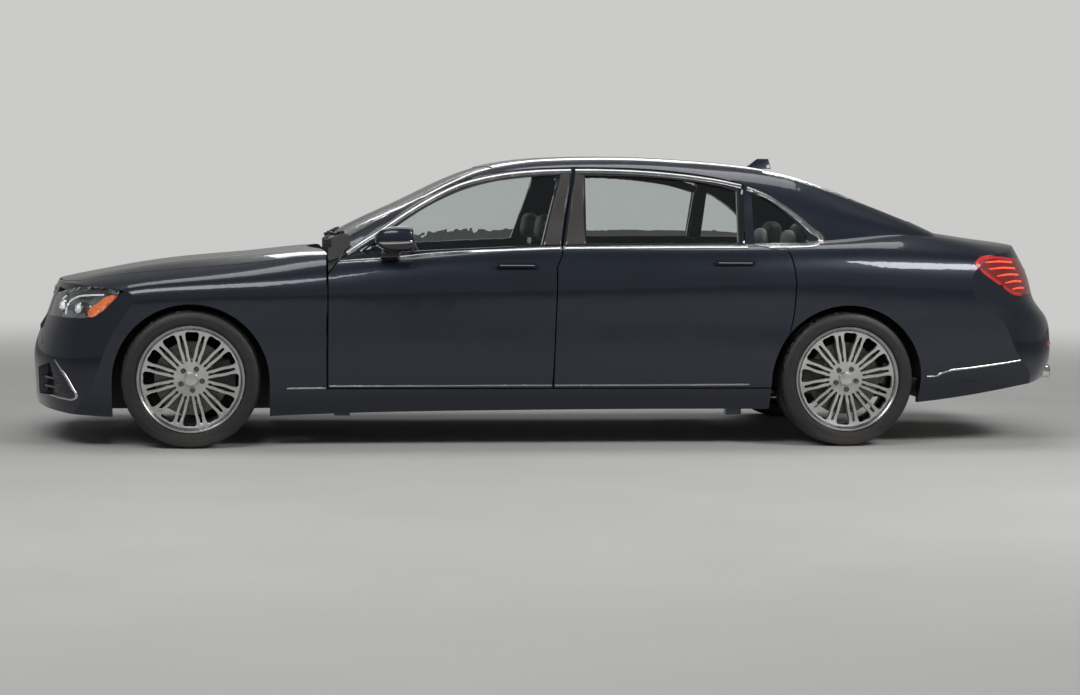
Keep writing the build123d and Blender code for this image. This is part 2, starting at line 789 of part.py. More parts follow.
tail_block = side_block(TAIL_LAMP, tail_near, 1000)
bumper_rear_top = lid_bottom_z - shut_gap
BUMPER_REAR = [
    [(rear_x + 250, 0), (rear_x + 250, 655)],
    [(rear_x + 250, 655), (rear_x + 485, 680), (rear_x + 724, 722), (rear_x + 900, bumper_rear_top)],
    [(rear_x + 900, bumper_rear_top), (tail_end_x, bumper_rear_top)],
    [(tail_end_x, bumper_rear_top), (tail_end_x, 0)],
    [(tail_end_x, 0), (rear_x + 250, 0)],
]
rear_bumper_side = side_block(BUMPER_REAR, 0, 1000)
rear_bumper_block = rear_bumper_side + mirrored(rear_bumper_side)
tip_heights = (338, 402)
tip_half = (470, 665)
tip_front_x = rear_x + 1000
tip_rear_x = rear_x + 1226
rear_beam_x = rear_x + 1130
REAR_CORE = [(rear_x + 200, 0), (rear_x + 200, panel_inner_y), (rear_x + 640, panel_inner_y), (rear_x + 800, 830)]
REAR_CORE += [(rear_x + 940, 740), (rear_x + 1060, 560), (rear_beam_x, 440), (rear_beam_x, 0)]
REAR_LOW_CORE = [(x, y - 60 * (y > 600)) for x, y in REAR_CORE]
rear_tuck_z = arch_z
rear_core = top_block(closed(REAR_CORE), rear_tuck_z, 650)
rear_core = rear_core + top_block(closed([(x, min(y, tuck_y)) for x, y in REAR_LOW_CORE]), 0, rear_tuck_z)
upper_core = top_block(closed([(x - 55 * (x > rear_x + 700), y) for x, y in REAR_CORE]), 650, 800)
with BuildPart() as rear_bumper:
    add((outer_low & rear_bumper_block) - rear_core - mirrored(rear_core) - upper_core - mirrored(upper_core) - wells)
    for side in (-1, 1):
        add(box_beside(side, (tip_front_x, tip_rear_x), tip_half, tip_heights), mode=Mode.SUBTRACT)
with BuildPart() as trunk_lid:
    add((outer_low & lid_block) - under_lid)
    for side in (-1, 1):
        knuckle = (lid_hinge_y[0] - 1, lid_hinge_y[1] + 1)
        add(box_beside(side, (lid_hinge_x - 50, lid_hinge_x + 25), knuckle, (1070, 1130)), mode=Mode.SUBTRACT)
    add(drum(lid_hinge_x, lid_hinge_z, -390, 390, lid_pin_radius + hinge_play), mode=Mode.SUBTRACT)
TAIL_CORE = [(rear_x + 600, 820), (rear_x + 800, 800), (rear_x + 920, 690), (rear_x + 990, 590), (rear_x + 600, 590)]
tail_core = mirrored(top_block(closed(TAIL_CORE), 700, 1000))
with BuildPart() as tail_lamps:
    add((outer_low & tail_block) - tail_core - rear_bumper_block)
    mirror(tail_lamps.part, about=Plane.XZ)

# ---------------------------------------------------------------- windscreen, rear glass and roof
WINDSCREEN = [
    [(front_x + 800, -742), (front_x + 718, -480), (front_x + 690, 0), (front_x + 718, 480), (front_x + 800, 742)],
    [(front_x + 800, 742), (front_x + 1094, 684), (front_x + 1330, 636), (front_x + 1545, 602)],
    [(front_x + 1545, 602), (front_x + 1508, 330), (front_x + 1496, 0), (front_x + 1508, -330), (front_x + 1545, -602)],
    [(front_x + 1545, -602), (front_x + 1330, -636), (front_x + 1094, -684), (front_x + 800, -742)],
]
BACKLIGHT = [
    [(rear_x - 385, -560), (rear_x - 372, 0), (rear_x - 385, 560)],
    [(rear_x - 385, 560), (rear_x, 575), (rear_x + 400, 606)],
    [(rear_x + 400, 606), (rear_x + 438, 0), (rear_x + 400, -606)],
    [(rear_x + 400, -606), (rear_x, -575), (rear_x - 385, -560)],
]
windscreen_block = top_block(WINDSCREEN, 964, 1600)
backlight_block = top_block(BACKLIGHT, 1020, 1600)
with BuildPart() as windscreen:
    add((glass_outer & windscreen_block) - glass_inner)
with BuildPart() as quarter_glass:
    add((glass_outer & quarter_block) - glass_inner)
with BuildPart() as rear_windows:
    add((glass_outer & backlight_block) - glass_inner)
    add(quarter_glass.part)
    mirror(quarter_glass.part, about=Plane.XZ)

roof_half = 560
screens = windscreen_block + backlight_block
with BuildPart() as roof_panel:
    roof_region = box_between((front_x + 1200, -roof_half, 1200), (rear_x, roof_half, 1700))
    add((outer_top & roof_region) - inner_top - screens)

# ---------------------------------------------------------------- body sides
hinge_pillar_x = door_front_x - 88
side_inner_y = cabin_y - 30
sill_top_z = door_bottom_z - shut_gap
frame_front_x = front_x + 800
frame_rear_x = lid_front_x - lid_front_gap
pad_size = (80, 60)
pad_y = 800
pad_z = 158
pad_places = (front_x + 760, rear_x - 580)
QUARTER_SECTION = [(-500, 0), (-panel_inner_y, 0), (-panel_inner_y, 860), (-740, 980), (-500, 1000)]
QUARTER_PLAN = [(rear_x - 345, -500), (rear_x - 345, -900), (rear_x + 640, -900), (rear_x + 850, -750)]
QUARTER_PLAN += [(rear_x + 930, -600), (rear_x + 930, -500)]
quarter_core = front_block(closed(QUARTER_SECTION), rear_x - 345, rear_x + 1000) & top_block(closed(QUARTER_PLAN), 0, 1100)
with BuildPart() as side_region:
    add(box_between((frame_front_x, -1100, shelf_z), (frame_rear_x, -roof_half, 1700)))
    add(box_between((rear_x - 480, -1100, fender_bottom_z), (frame_rear_x, -roof_half, shelf_z)))
    add(box_between((frame_rear_x, -1100, fender_bottom_z), (tail_end_x, -roof_half, 1200)))
side_cut = front_opening + rear_opening + quarter_block + lid_opening + tail_block + rear_bumper_block + wells_left
with BuildPart() as body_side_left:
    add(largest((outer & side_region.part) - cabin.part - quarter_core - screens - side_cut))
    sill = box_between((front_x + 200, -1100, 0), (rear_x - 200, -side_inner_y, fender_bottom_z))
    sill = sill + box_between((fender_rear_x, -1100, 0), (rear_x - 200, -side_inner_y, sill_top_z))
    add((outer_low & sill) - wells_left)
    add(box_between((hinge_pillar_x, -panel_inner_y, floor_z), (fender_rear_x, -side_inner_y, 790)))
    add(pillar)
    add(hinge_brackets(front_hinge_x, fender_rear_x - 6))
    add(hinge_brackets(rear_hinge_x, pillar_rear_low - 15))
    with Locations(*[(x, -pad_y, pad_z + 30) for x in pad_places]):
        Box(*pad_size, 60)
with BuildPart() as body_side_right:
    mirror(body_side_left.part, about=Plane.XZ)

# ---------------------------------------------------------------- floor, bulkheads and wheelhouses
wheelhouse_wall = 15
floor_low_z = 200
tunnel_half = 140
tunnel_z = 252
seat_step_x = rear_x - 352
rear_floor_z = 385
plate = 15
bay_top_z = 780


def wheelhouse(x, near):
    """The arched wall over one wheel on the left."""
    with BuildPart() as arch:
        with BuildSketch(Plane.XZ.offset(near)):
            with Locations((x, arch_z)):
                Circle(well_radius + wheelhouse_wall)
                Circle(well_radius, mode=Mode.SUBTRACT)
            with Locations((x, arch_z - 300)):
                Rectangle(1000, 600, mode=Mode.SUBTRACT)
        extrude(amount=panel_inner_y - near)
    return arch.part


with BuildPart() as floor_pan:
    add(box_between((door_front_x, -side_inner_y, floor_low_z), (rear_x - 445, side_inner_y, floor_z)))
    add(box_between((rear_x - 445, -trunk_y, floor_low_z), (seat_step_x, trunk_y, floor_z)))
    add(box_between((seat_step_x, -trunk_y, tunnel_z), (seat_step_x + plate, trunk_y, rear_floor_z + plate)))
    add(box_between((seat_step_x, -trunk_y, rear_floor_z), (cabin_rear_x, trunk_y, rear_floor_z + plate)))
    tunnel = box_between((front_x, -tunnel_half, 0), (seat_step_x, tunnel_half, tunnel_z - 5))
    add(tunnel, mode=Mode.SUBTRACT)

firewall_x = front_x + 560
firewall_top_z = 900
# The tray ahead of the windscreen, which the rear edge of the hood swings into.
TRAY = [(front_x + 672, 0), (front_x + 681, 300), (front_x + 697, 480), (front_x + 706, 600)]
TRAY += [(front_x + 706, 772), (front_x + 560, 772)]
wiper_tray = top_block(closed(TRAY + [(x, -y) for x, y in TRAY[:0:-1]]), 962, 1120)
arm_half = 36
arm_room = 24
arm_window_z = (150, 545)
with BuildPart() as front_structure:
    add(box_between((firewall_x, -side_inner_y, tunnel_z), (door_front_x, side_inner_y, firewall_top_z)))
    add(box_between((nose_back_x, -front_wall_y, 165), (nose_back_x + 40, front_wall_y, 745)))
    add(box_between((beam_x, -440, 430), (nose_back_x, 440, 600)))
    for side in (-1, 1):
        add(box_beside(side, (nose_back_x, firewall_x), (bay_y, front_wall_y), (165, bay_top_z)))
    for side in (-1, 1):
        window_x = (front_x - arm_half - arm_room, front_x + arm_half + arm_room)
        add(box_beside(side, window_x, (bay_y - 5, front_wall_y + 5), arm_window_z), mode=Mode.SUBTRACT)
    house = wheelhouse(front_x, front_wall_y)
    add(house)
    mirror(house, about=Plane.XZ)
    cowl = box_between((firewall_x, -side_inner_y, firewall_top_z - 20), (door_front_x, side_inner_y, 1100))
    cowl = cowl + box_between((door_front_x, -900, firewall_top_z - 20), (frame_front_x, 900, 1160))
    doors = front_opening + mirrored(front_opening)
    add((outer & cowl) - hood_opening - windscreen_block - cabin.part - doors - wiper_tray)
    for side in (-1, 1):
        pocket = (hood_hinge_y[0] - 8, hood_hinge_y[1] + 8)
        add(box_beside(side, (hood_hinge_x - 130, hood_hinge_x + 24), pocket, (930, 1040)), mode=Mode.SUBTRACT)
    for side in (-1, 1):
        near, far = sorted((side * (hood_hinge_y[0] - 14), side * (hood_hinge_y[1] + 14)))
        add(drum(hood_hinge_x, hood_hinge_z, near, far, hood_pin_radius))

shelf_front_x = rear_x - 70  # the seat backs reach this far over the bulkhead
shelf_far = 761
with BuildPart() as rear_structure:
    add(box_between((cabin_rear_x, -trunk_y, rear_floor_z), (rear_x, trunk_y, shelf_z)))
    add(box_between((cabin_rear_x, -trunk_y, rear_floor_z), (rear_x + 1060, trunk_y, rear_floor_z + plate)))
    add(box_between((rear_x + 1030, -trunk_y, rear_floor_z), (rear_x + 1060, trunk_y, lid_bottom_z - 14)))
    add(box_between((rear_x + 1060, -430, 430), (rear_beam_x, 430, 600)))
    add(box_between((shelf_front_x, -trunk_y, shelf_z), (rear_x + 430, trunk_y, shelf_z + 20)))
    house = wheelhouse(rear_x, trunk_y)
    add(house)
    mirror(house, about=Plane.XZ)
    for side in (-1, 1):
        add(box_beside(side, (rear_x - 445, rear_x + 1060), (trunk_y, rear_wall_y), (rear_floor_z, 720)))
        corner = box_beside(side, (rear_x + 990, rear_x + 1070), (450, rear_wall_y + 10), (649, 800))
        add(corner, mode=Mode.SUBTRACT)
        add(box_beside(side, (rear_x - 350, rear_x + 500), (trunk_y, rear_wall_y), (700, shelf_z + 20)))
        add(box_beside(side, (rear_x - 230, rear_x + 430), (trunk_y, shelf_far), (shelf_z - 15, shelf_z)))
    strip = box_between((cabin_tail_x - 20, -roof_half, 1040), (frame_rear_x, roof_half, 1200))
    add((outer & strip) - backlight_block)
    add(box_between((cabin_tail_x - 20, -roof_half, shelf_z), (cabin_tail_x, roof_half, 1042)))
    door_room = rear_opening - box_between((front_x, -cabin_y + 6, 0), (rear_x, 0, 1500))
    add(door_room + mirrored(door_room), mode=Mode.SUBTRACT)
    for side in (-1, 1):
        neck = (lid_hinge_y[0] + 6, lid_hinge_y[1] - 6)
        reach = (lid_hinge_x - lid_front_gap - 20, lid_hinge_x + lid_pin_radius)
        add(box_beside(side, reach, neck, (lid_hinge_z - 18, lid_hinge_z + 4)))
        near, far = sorted((side * (lid_hinge_y[0] - 10), side * (lid_hinge_y[1] + 10)))
        add(drum(lid_hinge_x, lid_hinge_z, near, far, lid_pin_radius))

# ---------------------------------------------------------------- running gear
bead_gap = 0.3
tyre_shoulder = 12
flange_thick = 8
barrel_wall = 12
face_back = 34  # spoke face behind the tyre's outer side
hub_dish = 16
spoke_thick = 30
disc_back = 72  # outer side of the brake disc behind the spoke face
hub_boss_radius = 70
upright_thick = 34
upright_half = 40
ball_pin_radius = 9
ball_play = 0.4
arm_heights = (205, 495)
arm_tall = 28
caliper_x = (108, 220)
caliper_half_z = 60
caliper_play = 6


def ring_points(profile, middle_y):
    """Points (outwards from the tyre's middle, radius) placed on the left wheel, in the YZ plane."""
    return [(-middle_y - out, tyre_radius + r) for out, r in profile]


def tyre(x, middle_y, width):
    """A plain tyre on the left."""
    w = width / 2
    bead_out = -w + 22 + bead_gap
    profile = [(bead_out, bead_radius + bead_gap), (bead_out, rim_radius + bead_gap)]
    profile += [(-w + 6, rim_radius + 4), (-w, 300), (-w + 5, 322)]
    profile += [(-w + tyre_shoulder, 338), (-w + 34, tyre_radius)]
    outline = profile + [(-out, r) for out, r in profile[::-1]]
    with BuildPart() as ring:
        with BuildSketch(Plane.YZ.offset(x)):
            with BuildLine():
                Polyline(*ring_points(outline, middle_y), close=True)
            make_face()
        revolve(axis=Axis((x, 0, tyre_radius), (0, 1, 0)))
    return ring.part


def wheel_plane(x, middle_y, out):
    """The plane of a left wheel, some way outwards from the middle of its tyre."""
    return Plane(origin=(x, -middle_y - out, tyre_radius), x_dir=(1, 0, 0), z_dir=(0, -1, 0))


def either_side(points):
    """Half an opening's outline, (along the spoke, across it), with its other half."""
    return points + [(r, -across) for r, across in points[::-1] if across]


between_pairs = either_side([(108, 0), (114, 9), (166, 20), (222, 34), (232, 20), (234, 0)])
within_pair = either_side([(110, 0), (166, 9), (200, 6), (217, 0)])


def rim(x, middle_y, width):
    """A rim on the left with twin spokes, its brake disc and its bore for the spindle."""
    w = width / 2 - 14
    face = width / 2 - face_back
    inner = bead_radius - barrel_wall
    barrel = [
        (-w, inner + 8),
        (-w, rim_radius),
        (-w + flange_thick, rim_radius),
        (-w + flange_thick, bead_radius),
        (w - flange_thick, bead_radius),
        (w - flange_thick, rim_radius),
        (w, rim_radius),
        (w, rim_radius - rim_lip),
        (face, inner),
        (-w + 20, inner),
    ]
    spokes = [
        (face - hub_dish, 0),
        (face - hub_dish, hub_radius),
        (face, inner + 2),
        (face - spoke_thick, inner + 2),
        (face - hub_dish - spoke_thick, hub_radius),
        (face - hub_dish - spoke_thick, 0),
    ]
    disc_outer = face - disc_back
    disc_inner = disc_outer - disc_thickness
    hub = [
        (face - hub_dish - spoke_thick, 0),
        (face - hub_dish - spoke_thick, hub_boss_radius),
        (disc_outer, hub_boss_radius),
        (disc_outer, disc_radius),
        (disc_inner, disc_radius),
        (disc_inner, 0),
    ]
    with BuildPart() as wheel:
        for outline in (barrel, spokes, hub):
            with BuildSketch(Plane.YZ.offset(x)):
                with BuildLine():
                    Polyline(*ring_points(outline, middle_y), close=True)
                make_face()
            revolve(axis=Axis((x, 0, tyre_radius), (0, 1, 0)))
        back = face - hub_dish - spoke_thick - 14
        with BuildSketch(wheel_plane(x, middle_y, back)):
            with PolarLocations(0, spoke_pairs, start_angle=180 / spoke_pairs):
                Polygon(*between_pairs, align=None)
            with PolarLocations(0, spoke_pairs):
                Polygon(*within_pair, align=None)
        extrude(amount=80, mode=Mode.SUBTRACT)
        with BuildSketch(wheel_plane(x, middle_y, disc_inner - 1)):
            Circle(spindle_radius + spindle_clearance)
        extrude(amount=face - hub_dish - 12 - disc_inner + 1, mode=Mode.SUBTRACT)
    return wheel.part


def carrier(x, middle_y, width, upright_z, caliper_side):
    """Upright, spindle and brake caliper of one wheel, on the left."""
    face = width / 2 - face_back
    disc_outer = face - disc_back
    disc_inner = disc_outer - disc_thickness
    pin_out = -kingpin_inset
    y_mid = -middle_y - pin_out
    with BuildPart() as part:
        low = (x - upright_half, y_mid - upright_thick / 2, upright_z[0])
        add(box_between(low, (x + upright_half, y_mid + upright_thick / 2, upright_z[1])))
        with BuildSketch(wheel_plane(x, middle_y, pin_out)):
            Circle(spindle_radius)
        extrude(amount=face - hub_dish - 16 - pin_out)
        x0, x1 = sorted(x + caliper_side * reach for reach in caliper_x)
        caliper = box_between(
            (x0, -middle_y - disc_outer - 20, tyre_radius - caliper_half_z),
            (x1, -middle_y - disc_inner + 22, tyre_radius + caliper_half_z),
        )
        slot_far = -middle_y - disc_outer - caliper_play
        slot_near = -middle_y - disc_inner + caliper_play
        add(caliper - drum(x, tyre_radius, slot_far, slot_near, disc_radius + caliper_play))
        low_z, high_z = tyre_radius - upright_half, tyre_radius + upright_half
        inner_y = y_mid + upright_thick / 2
        x0, x1 = sorted((x, x + caliper_side * (caliper_x[0] + 12)))
        add(box_between((x0, y_mid - upright_thick / 2 + 2, low_z), (x1, inner_y, high_z)))
        x0, x1 = sorted((x + caliper_side * (caliper_x[0] - 4), x + caliper_side * (caliper_x[0] + 50)))
        add(box_between((x0, slot_near, low_z), (x1, inner_y, high_z)))
    return part.part


kingpin_y = front_wheel_y - kingpin_inset
upright_front_z = (arm_heights[0] + arm_tall + 0.5, arm_heights[1] - 0.5)
with BuildPart() as knuckle_front_left:
    add(carrier(front_x, front_wheel_y, front_tyre_width, upright_front_z, 1))
    with BuildSketch(Plane.XY.offset(arm_heights[0])):
        with Locations((front_x, -kingpin_y)):
            Circle(ball_pin_radius)
    extrude(amount=arm_heights[1] + arm_tall - arm_heights[0])
with BuildPart() as knuckle_front_right:
    mirror(knuckle_front_left.part, about=Plane.XZ)

frame_low_z = 172
frame_high_z = 250
engine_low_z = 330
mount_y = (235, 300)
with BuildPart() as front_subframe:
    add(box_between((front_x - 130, -bay_y, frame_low_z), (front_x + 130, bay_y, frame_high_z)))
    arm_x = (front_x - arm_half, front_x + arm_half)
    arm_end = kingpin_y + 14
    arm_neck = kingpin_y - 45
    neck_x = (front_x - 11, front_x + 11)
    lower_arm_z = (arm_heights[0], arm_heights[0] + arm_tall)
    upper_arm_z = (arm_heights[1], arm_heights[1] + arm_tall)
    for side in (-1, 1):
        add(box_beside(side, (front_x - 60, front_x + 60), mount_y, (frame_high_z, engine_low_z)))
        add(box_beside(side, arm_x, (bay_y - 10, arm_neck), lower_arm_z))
        add(box_beside(side, neck_x, (arm_neck, arm_end), lower_arm_z))
        add(box_beside(side, arm_x, (bay_y - 34, bay_y - 10), (frame_high_z - 30, upper_arm_z[1])))
        add(box_beside(side, arm_x, (bay_y - 34, arm_neck), upper_arm_z))
        add(box_beside(side, neck_x, (arm_neck, arm_end), upper_arm_z))
    for sign in (1, -1):
        with BuildSketch(Plane.XY.offset(arm_heights[0] - 1)):
            with Locations((front_x, sign * kingpin_y)):
                Circle(ball_pin_radius + ball_play)
        extrude(amount=arm_heights[1] + arm_tall + 2 - arm_heights[0], mode=Mode.SUBTRACT)

half_shaft_radius = 20
differential_radius = 82
carrier_rear = carrier(rear_x, rear_wheel_y, rear_tyre_width, (230, 470), -1)
with BuildPart() as rear_axle:
    add(box_between((rear_x - 110, -430, 250), (rear_x + 110, 430, 330)))
    hub_y = rear_wheel_y - kingpin_inset
    for side in (-1, 1):
        add(box_beside(side, (rear_x - 80, rear_x + 80), (360, 430), (320, rear_floor_z)))
        add(box_beside(side, (rear_x - arm_half, rear_x + arm_half), (400, hub_y), (250, 276)))
    add(drum(rear_x, tyre_radius - 10, -hub_y, hub_y, half_shaft_radius))
    add(drum(rear_x, 300, -52, 52, differential_radius))
    add(carrier_rear)
    mirror(carrier_rear, about=Plane.XZ)

with BuildPart() as engine_block:
    with Locations((front_x - 60, 0, engine_low_z + 235)):
        Box(680, 600, 470)
    chamfer(engine_block.edges().filter_by(Axis.X).group_by(Axis.Z)[-1], 90)

pipe_radius = 30
pipe_y = 90
pipe_z = 216
pipe_front_x = front_x + 510
with BuildPart() as exhaust:
    for side in (-1, 1):
        with BuildSketch(Plane.YZ.offset(pipe_front_x)):
            with Locations((side * pipe_y, pipe_z)):
                Circle(pipe_radius)
        extrude(amount=rear_x + 480 - pipe_front_x)
        add(box_beside(side, (rear_x + 460, rear_x + 560), (60, 620), (pipe_z + 10, 330)))
        add(box_beside(side, (rear_x + 560, rear_x + 960), (330, 625), (305, rear_floor_z)))
        add(box_beside(side, (rear_x + 950, tip_front_x + 120), (500, 620), (345, 375)))
        add(slat_form & box_beside(side, (tip_front_x + 100, tip_rear_x), tip_half, tip_heights))

# ---------------------------------------------------------------- cabin
dash_half = 740
console_half = 120
DASH = [
    (door_front_x, 620),
    (door_front_x, firewall_top_z - 20),
    (cabin_front_x, firewall_top_z - 20),
    (cabin_front_x, 940),
    (front_x + 900, 958),
    (front_x + 1030, 935),
    (front_x + 1085, 860),
    (front_x + 1060, 760),
    (front_x + 960, 640),
    (front_x + 900, 620),
]
with BuildPart() as dashboard:
    with BuildSketch(Plane.XZ.offset(-dash_half)):
        with BuildLine():
            Polyline(*DASH, close=True)
        make_face()
    extrude(amount=2 * dash_half)
    add(box_between((front_x + 900, -console_half, floor_z), (front_x + 1130, console_half, 800)))
    add(box_between((front_x + 1100, -console_half, floor_z), (front_x + 1800, console_half, 620)))

wheel_centre = (front_x + 1190, -370, 905)
column_tilt = 24
steering_radius = 178
steering_tube = 15
column_play = 0.5
column_radius = 24
column_way = (cos(radians(column_tilt)), 0, sin(radians(column_tilt)))
across_way = (sin(radians(column_tilt)), 0, -cos(radians(column_tilt)))
steering_plane = Plane(origin=wheel_centre, x_dir=(0, 1, 0), z_dir=column_way)
with BuildPart() as steering_wheel:
    with BuildSketch(Plane(origin=wheel_centre, x_dir=(0, 1, 0), z_dir=across_way)):
        with Locations((steering_radius, 0)):
            Circle(steering_tube)
    revolve(axis=Axis(wheel_centre, column_way))
    with BuildSketch(steering_plane.offset(-34)):
        RectangleRounded(150, 120, 40)
    extrude(amount=34)
    with BuildSketch(steering_plane.offset(-20)):
        Rectangle(2 * steering_radius, 34)
        with Locations((0, -steering_radius / 2)):
            Rectangle(40, steering_radius)
    extrude(amount=12)
    with BuildSketch(steering_plane.offset(-180)):
        Circle(column_radius)
    extrude(amount=160)
with BuildPart() as column_bore:
    with BuildSketch(steering_plane.offset(-184)):
        Circle(column_radius + column_play)
    extrude(amount=200)
with BuildPart() as binnacle:
    with BuildSketch(steering_plane.offset(-175)):
        Circle(60)
    extrude(amount=115)
with BuildPart() as dashboard_bored:
    add(dashboard.part + binnacle.part - column_bore.part)

seat_half = 250
seat_y = 370
rear_seat_half = 535

FRONT_SEAT = [
    (front_x + 1360, floor_z),
    (front_x + 1290, 500),
    (front_x + 1300, 575),
    (front_x + 1700, 520),
    (front_x + 1815, 990),
    (front_x + 1905, 985),
    (front_x + 1835, 480),
    (front_x + 1780, floor_z),
]
HEAD_RESTRAINT = [
    (front_x + 1800, 985),
    (front_x + 1795, 1080),
    (front_x + 1822, 1190),
    (front_x + 1880, 1195),
    (front_x + 1900, 1080),
    (front_x + 1890, 982),
]
REAR_SEAT = [
    (rear_x - 720, floor_z),
    (rear_x - 800, 560),
    (rear_x - 770, 610),
    (rear_x - 330, 560),
    (rear_x - 170, 950),
    (rear_x - 50, 950),
    (cabin_rear_x, rear_floor_z + plate),
    (seat_step_x - 10, rear_floor_z + plate),
    (seat_step_x - 10, floor_z),
]
REAR_RESTRAINT = [
    (rear_x - 178, 945),
    (rear_x - 190, 1090),
    (rear_x - 170, 1165),
    (rear_x - 105, 1170),
    (rear_x - 75, 945),
]
with BuildPart() as front_seats:
    for sign in (1, -1):
        for profile, half_width in ((FRONT_SEAT, seat_half), (HEAD_RESTRAINT, 140)):
            with BuildSketch(Plane.XZ.offset(-sign * seat_y - half_width)):
                with BuildLine():
                    Polyline(*profile, close=True)
                make_face()
            extrude(amount=2 * half_width)
with BuildPart() as rear_seats:
    with BuildSketch(Plane.XZ.offset(-rear_seat_half)):
        with BuildLine():
            Polyline(*REAR_SEAT, close=True)
        make_face()
    extrude(amount=2 * rear_seat_half)
    for side in (-1, 1):
        add(box_beside(side, (rear_x - 760, rear_x - 450), (rear_seat_half - 5, 690), (floor_z, 560)))
    for sign in (1, -1):
        with BuildSketch(Plane.XZ.offset(-sign * seat_y - 140)):
            with BuildLine():
                Polyline(*REAR_RESTRAINT, close=True)
            make_face()
        extrude(amount=280)

# ---------------------------------------------------------------- mirrors
with BuildPart() as mirror_left:
    add(box_between((front_x + 918, -1062, 996), (front_x + 1142, -905, 1126)))
    fillet(mirror_left.edges().filter_by(Axis.Y), 52)
    fillet(mirror_left.edges().group_by(Axis.Y)[0], 30)
    add(box_between((front_x + 960, -935, 950), (front_x + 1060, -840, 1008)) - outer)
with BuildPart() as mirror_right:
    mirror(mirror_left.part, about=Plane.XZ)

# ---------------------------------------------------------------- tyres and rims
with BuildPart() as tyre_front_left:
    add(tyre(front_x, front_wheel_y, front_tyre_width))
with BuildPart() as tyre_front_right:
    mirror(tyre_front_left.part, about=Plane.XZ)
with BuildPart() as tyre_rear_left:
    add(tyre(rear_x, rear_wheel_y, rear_tyre_width))
with BuildPart() as tyre_rear_right:
    mirror(tyre_rear_left.part, about=Plane.XZ)
with BuildPart() as rim_front_left:
    add(rim(front_x, front_wheel_y, front_tyre_width))
with BuildPart() as rim_front_right:
    mirror(rim_front_left.part, about=Plane.XZ)
with BuildPart() as rim_rear_left:
    add(rim(rear_x, rear_wheel_y, rear_tyre_width))
with BuildPart() as rim_rear_right:
    mirror(rim_rear_left.part, about=Plane.XZ)

finish(front_structure, "front_structure")
finish(floor_pan, "floor_pan")
finish(rear_structure, "rear_structure")
finish(body_side_left, "body_side_left")
finish(body_side_right, "body_side_right")
finish(roof_panel, "roof_panel")
finish(fender_left, "fender_left")
finish(fender_right, "fender_right")
finish(front_bumper, "front_bumper")
finish(rear_bumper, "rear_bumper")
finish(grille, "grille")
finish(headlamps, "headlamps")
finish(tail_lamps, "tail_lamps")
finish(windscreen, "windscreen")
finish(rear_windows, "rear_windows")
finish(dashboard_bored, "dashboard")
finish(front_seats, "front_seats")
finish(rear_seats, "rear_seats")
finish(engine_block, "engine_block")
finish(front_subframe, "front_subframe")
finish(rear_axle, "rear_axle")
finish(exhaust, "exhaust")
finish(hood, "hood")
finish(trunk_lid, "trunk_lid")
finish(door_front_left, "door_front_left")
finish(door_front_right, "door_front_right")
finish(door_rear_left, "door_rear_left")
finish(door_rear_right, "door_rear_right")
finish(glass_front_left, "glass_front_left")
finish(glass_front_right, "glass_front_right")
finish(glass_rear_left, "glass_rear_left")
finish(glass_rear_right, "glass_rear_right")
finish(mirror_left, "mirror_left")
finish(mirror_right, "mirror_right")
finish(steering_wheel, "steering_wheel")
finish(knuckle_front_left, "knuckle_front_left")
finish(knuckle_front_right, "knuckle_front_right")
finish(tyre_front_left, "tyre_front_left")
finish(tyre_front_right, "tyre_front_right")
finish(tyre_rear_left, "tyre_rear_left")
finish(tyre_rear_right, "tyre_rear_right")
finish(rim_front_left, "rim_front_left")
finish(rim_front_right, "rim_front_right")
finish(rim_rear_left, "rim_rear_left")
finish(rim_rear_right, "rim_rear_right")
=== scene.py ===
import json
from math import cos, exp, pi, radians, sin

import bpy
from mathutils import Matrix, Vector
from mathutils.bvhtree import BVHTree

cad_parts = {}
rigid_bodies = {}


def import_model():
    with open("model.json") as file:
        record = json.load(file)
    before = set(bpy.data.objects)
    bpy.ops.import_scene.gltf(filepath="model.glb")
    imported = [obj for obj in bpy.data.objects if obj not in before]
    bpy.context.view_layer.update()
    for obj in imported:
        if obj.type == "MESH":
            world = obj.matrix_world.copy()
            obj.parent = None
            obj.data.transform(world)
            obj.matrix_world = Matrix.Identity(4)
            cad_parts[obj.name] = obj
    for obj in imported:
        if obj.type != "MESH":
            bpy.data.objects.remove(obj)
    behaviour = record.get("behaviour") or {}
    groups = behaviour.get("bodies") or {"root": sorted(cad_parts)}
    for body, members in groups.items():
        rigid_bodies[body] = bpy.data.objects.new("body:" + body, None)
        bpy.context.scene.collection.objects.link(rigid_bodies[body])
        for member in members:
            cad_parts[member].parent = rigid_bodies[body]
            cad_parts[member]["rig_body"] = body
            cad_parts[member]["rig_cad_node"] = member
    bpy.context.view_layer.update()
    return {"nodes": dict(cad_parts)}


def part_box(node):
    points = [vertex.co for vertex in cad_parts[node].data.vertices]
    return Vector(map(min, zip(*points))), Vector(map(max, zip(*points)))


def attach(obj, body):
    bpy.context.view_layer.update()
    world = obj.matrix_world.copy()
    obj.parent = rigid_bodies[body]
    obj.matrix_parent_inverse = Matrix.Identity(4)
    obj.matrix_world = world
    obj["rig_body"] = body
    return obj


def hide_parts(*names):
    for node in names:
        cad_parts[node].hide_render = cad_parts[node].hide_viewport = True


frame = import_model()
nodes = frame["nodes"]


def middle(node):
    """Centre of a CAD node at rest."""
    low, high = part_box(node)
    return (Vector(low) + Vector(high)) / 2


front_x, front_track, axle_z = (abs(v) if i else v for i, v in enumerate(middle("tyre_front_left")))
rear_x, rear_track = middle("tyre_rear_left").x, abs(middle("tyre_rear_left").y)

# ---------------------------------------------------------------- effects that several finishes share


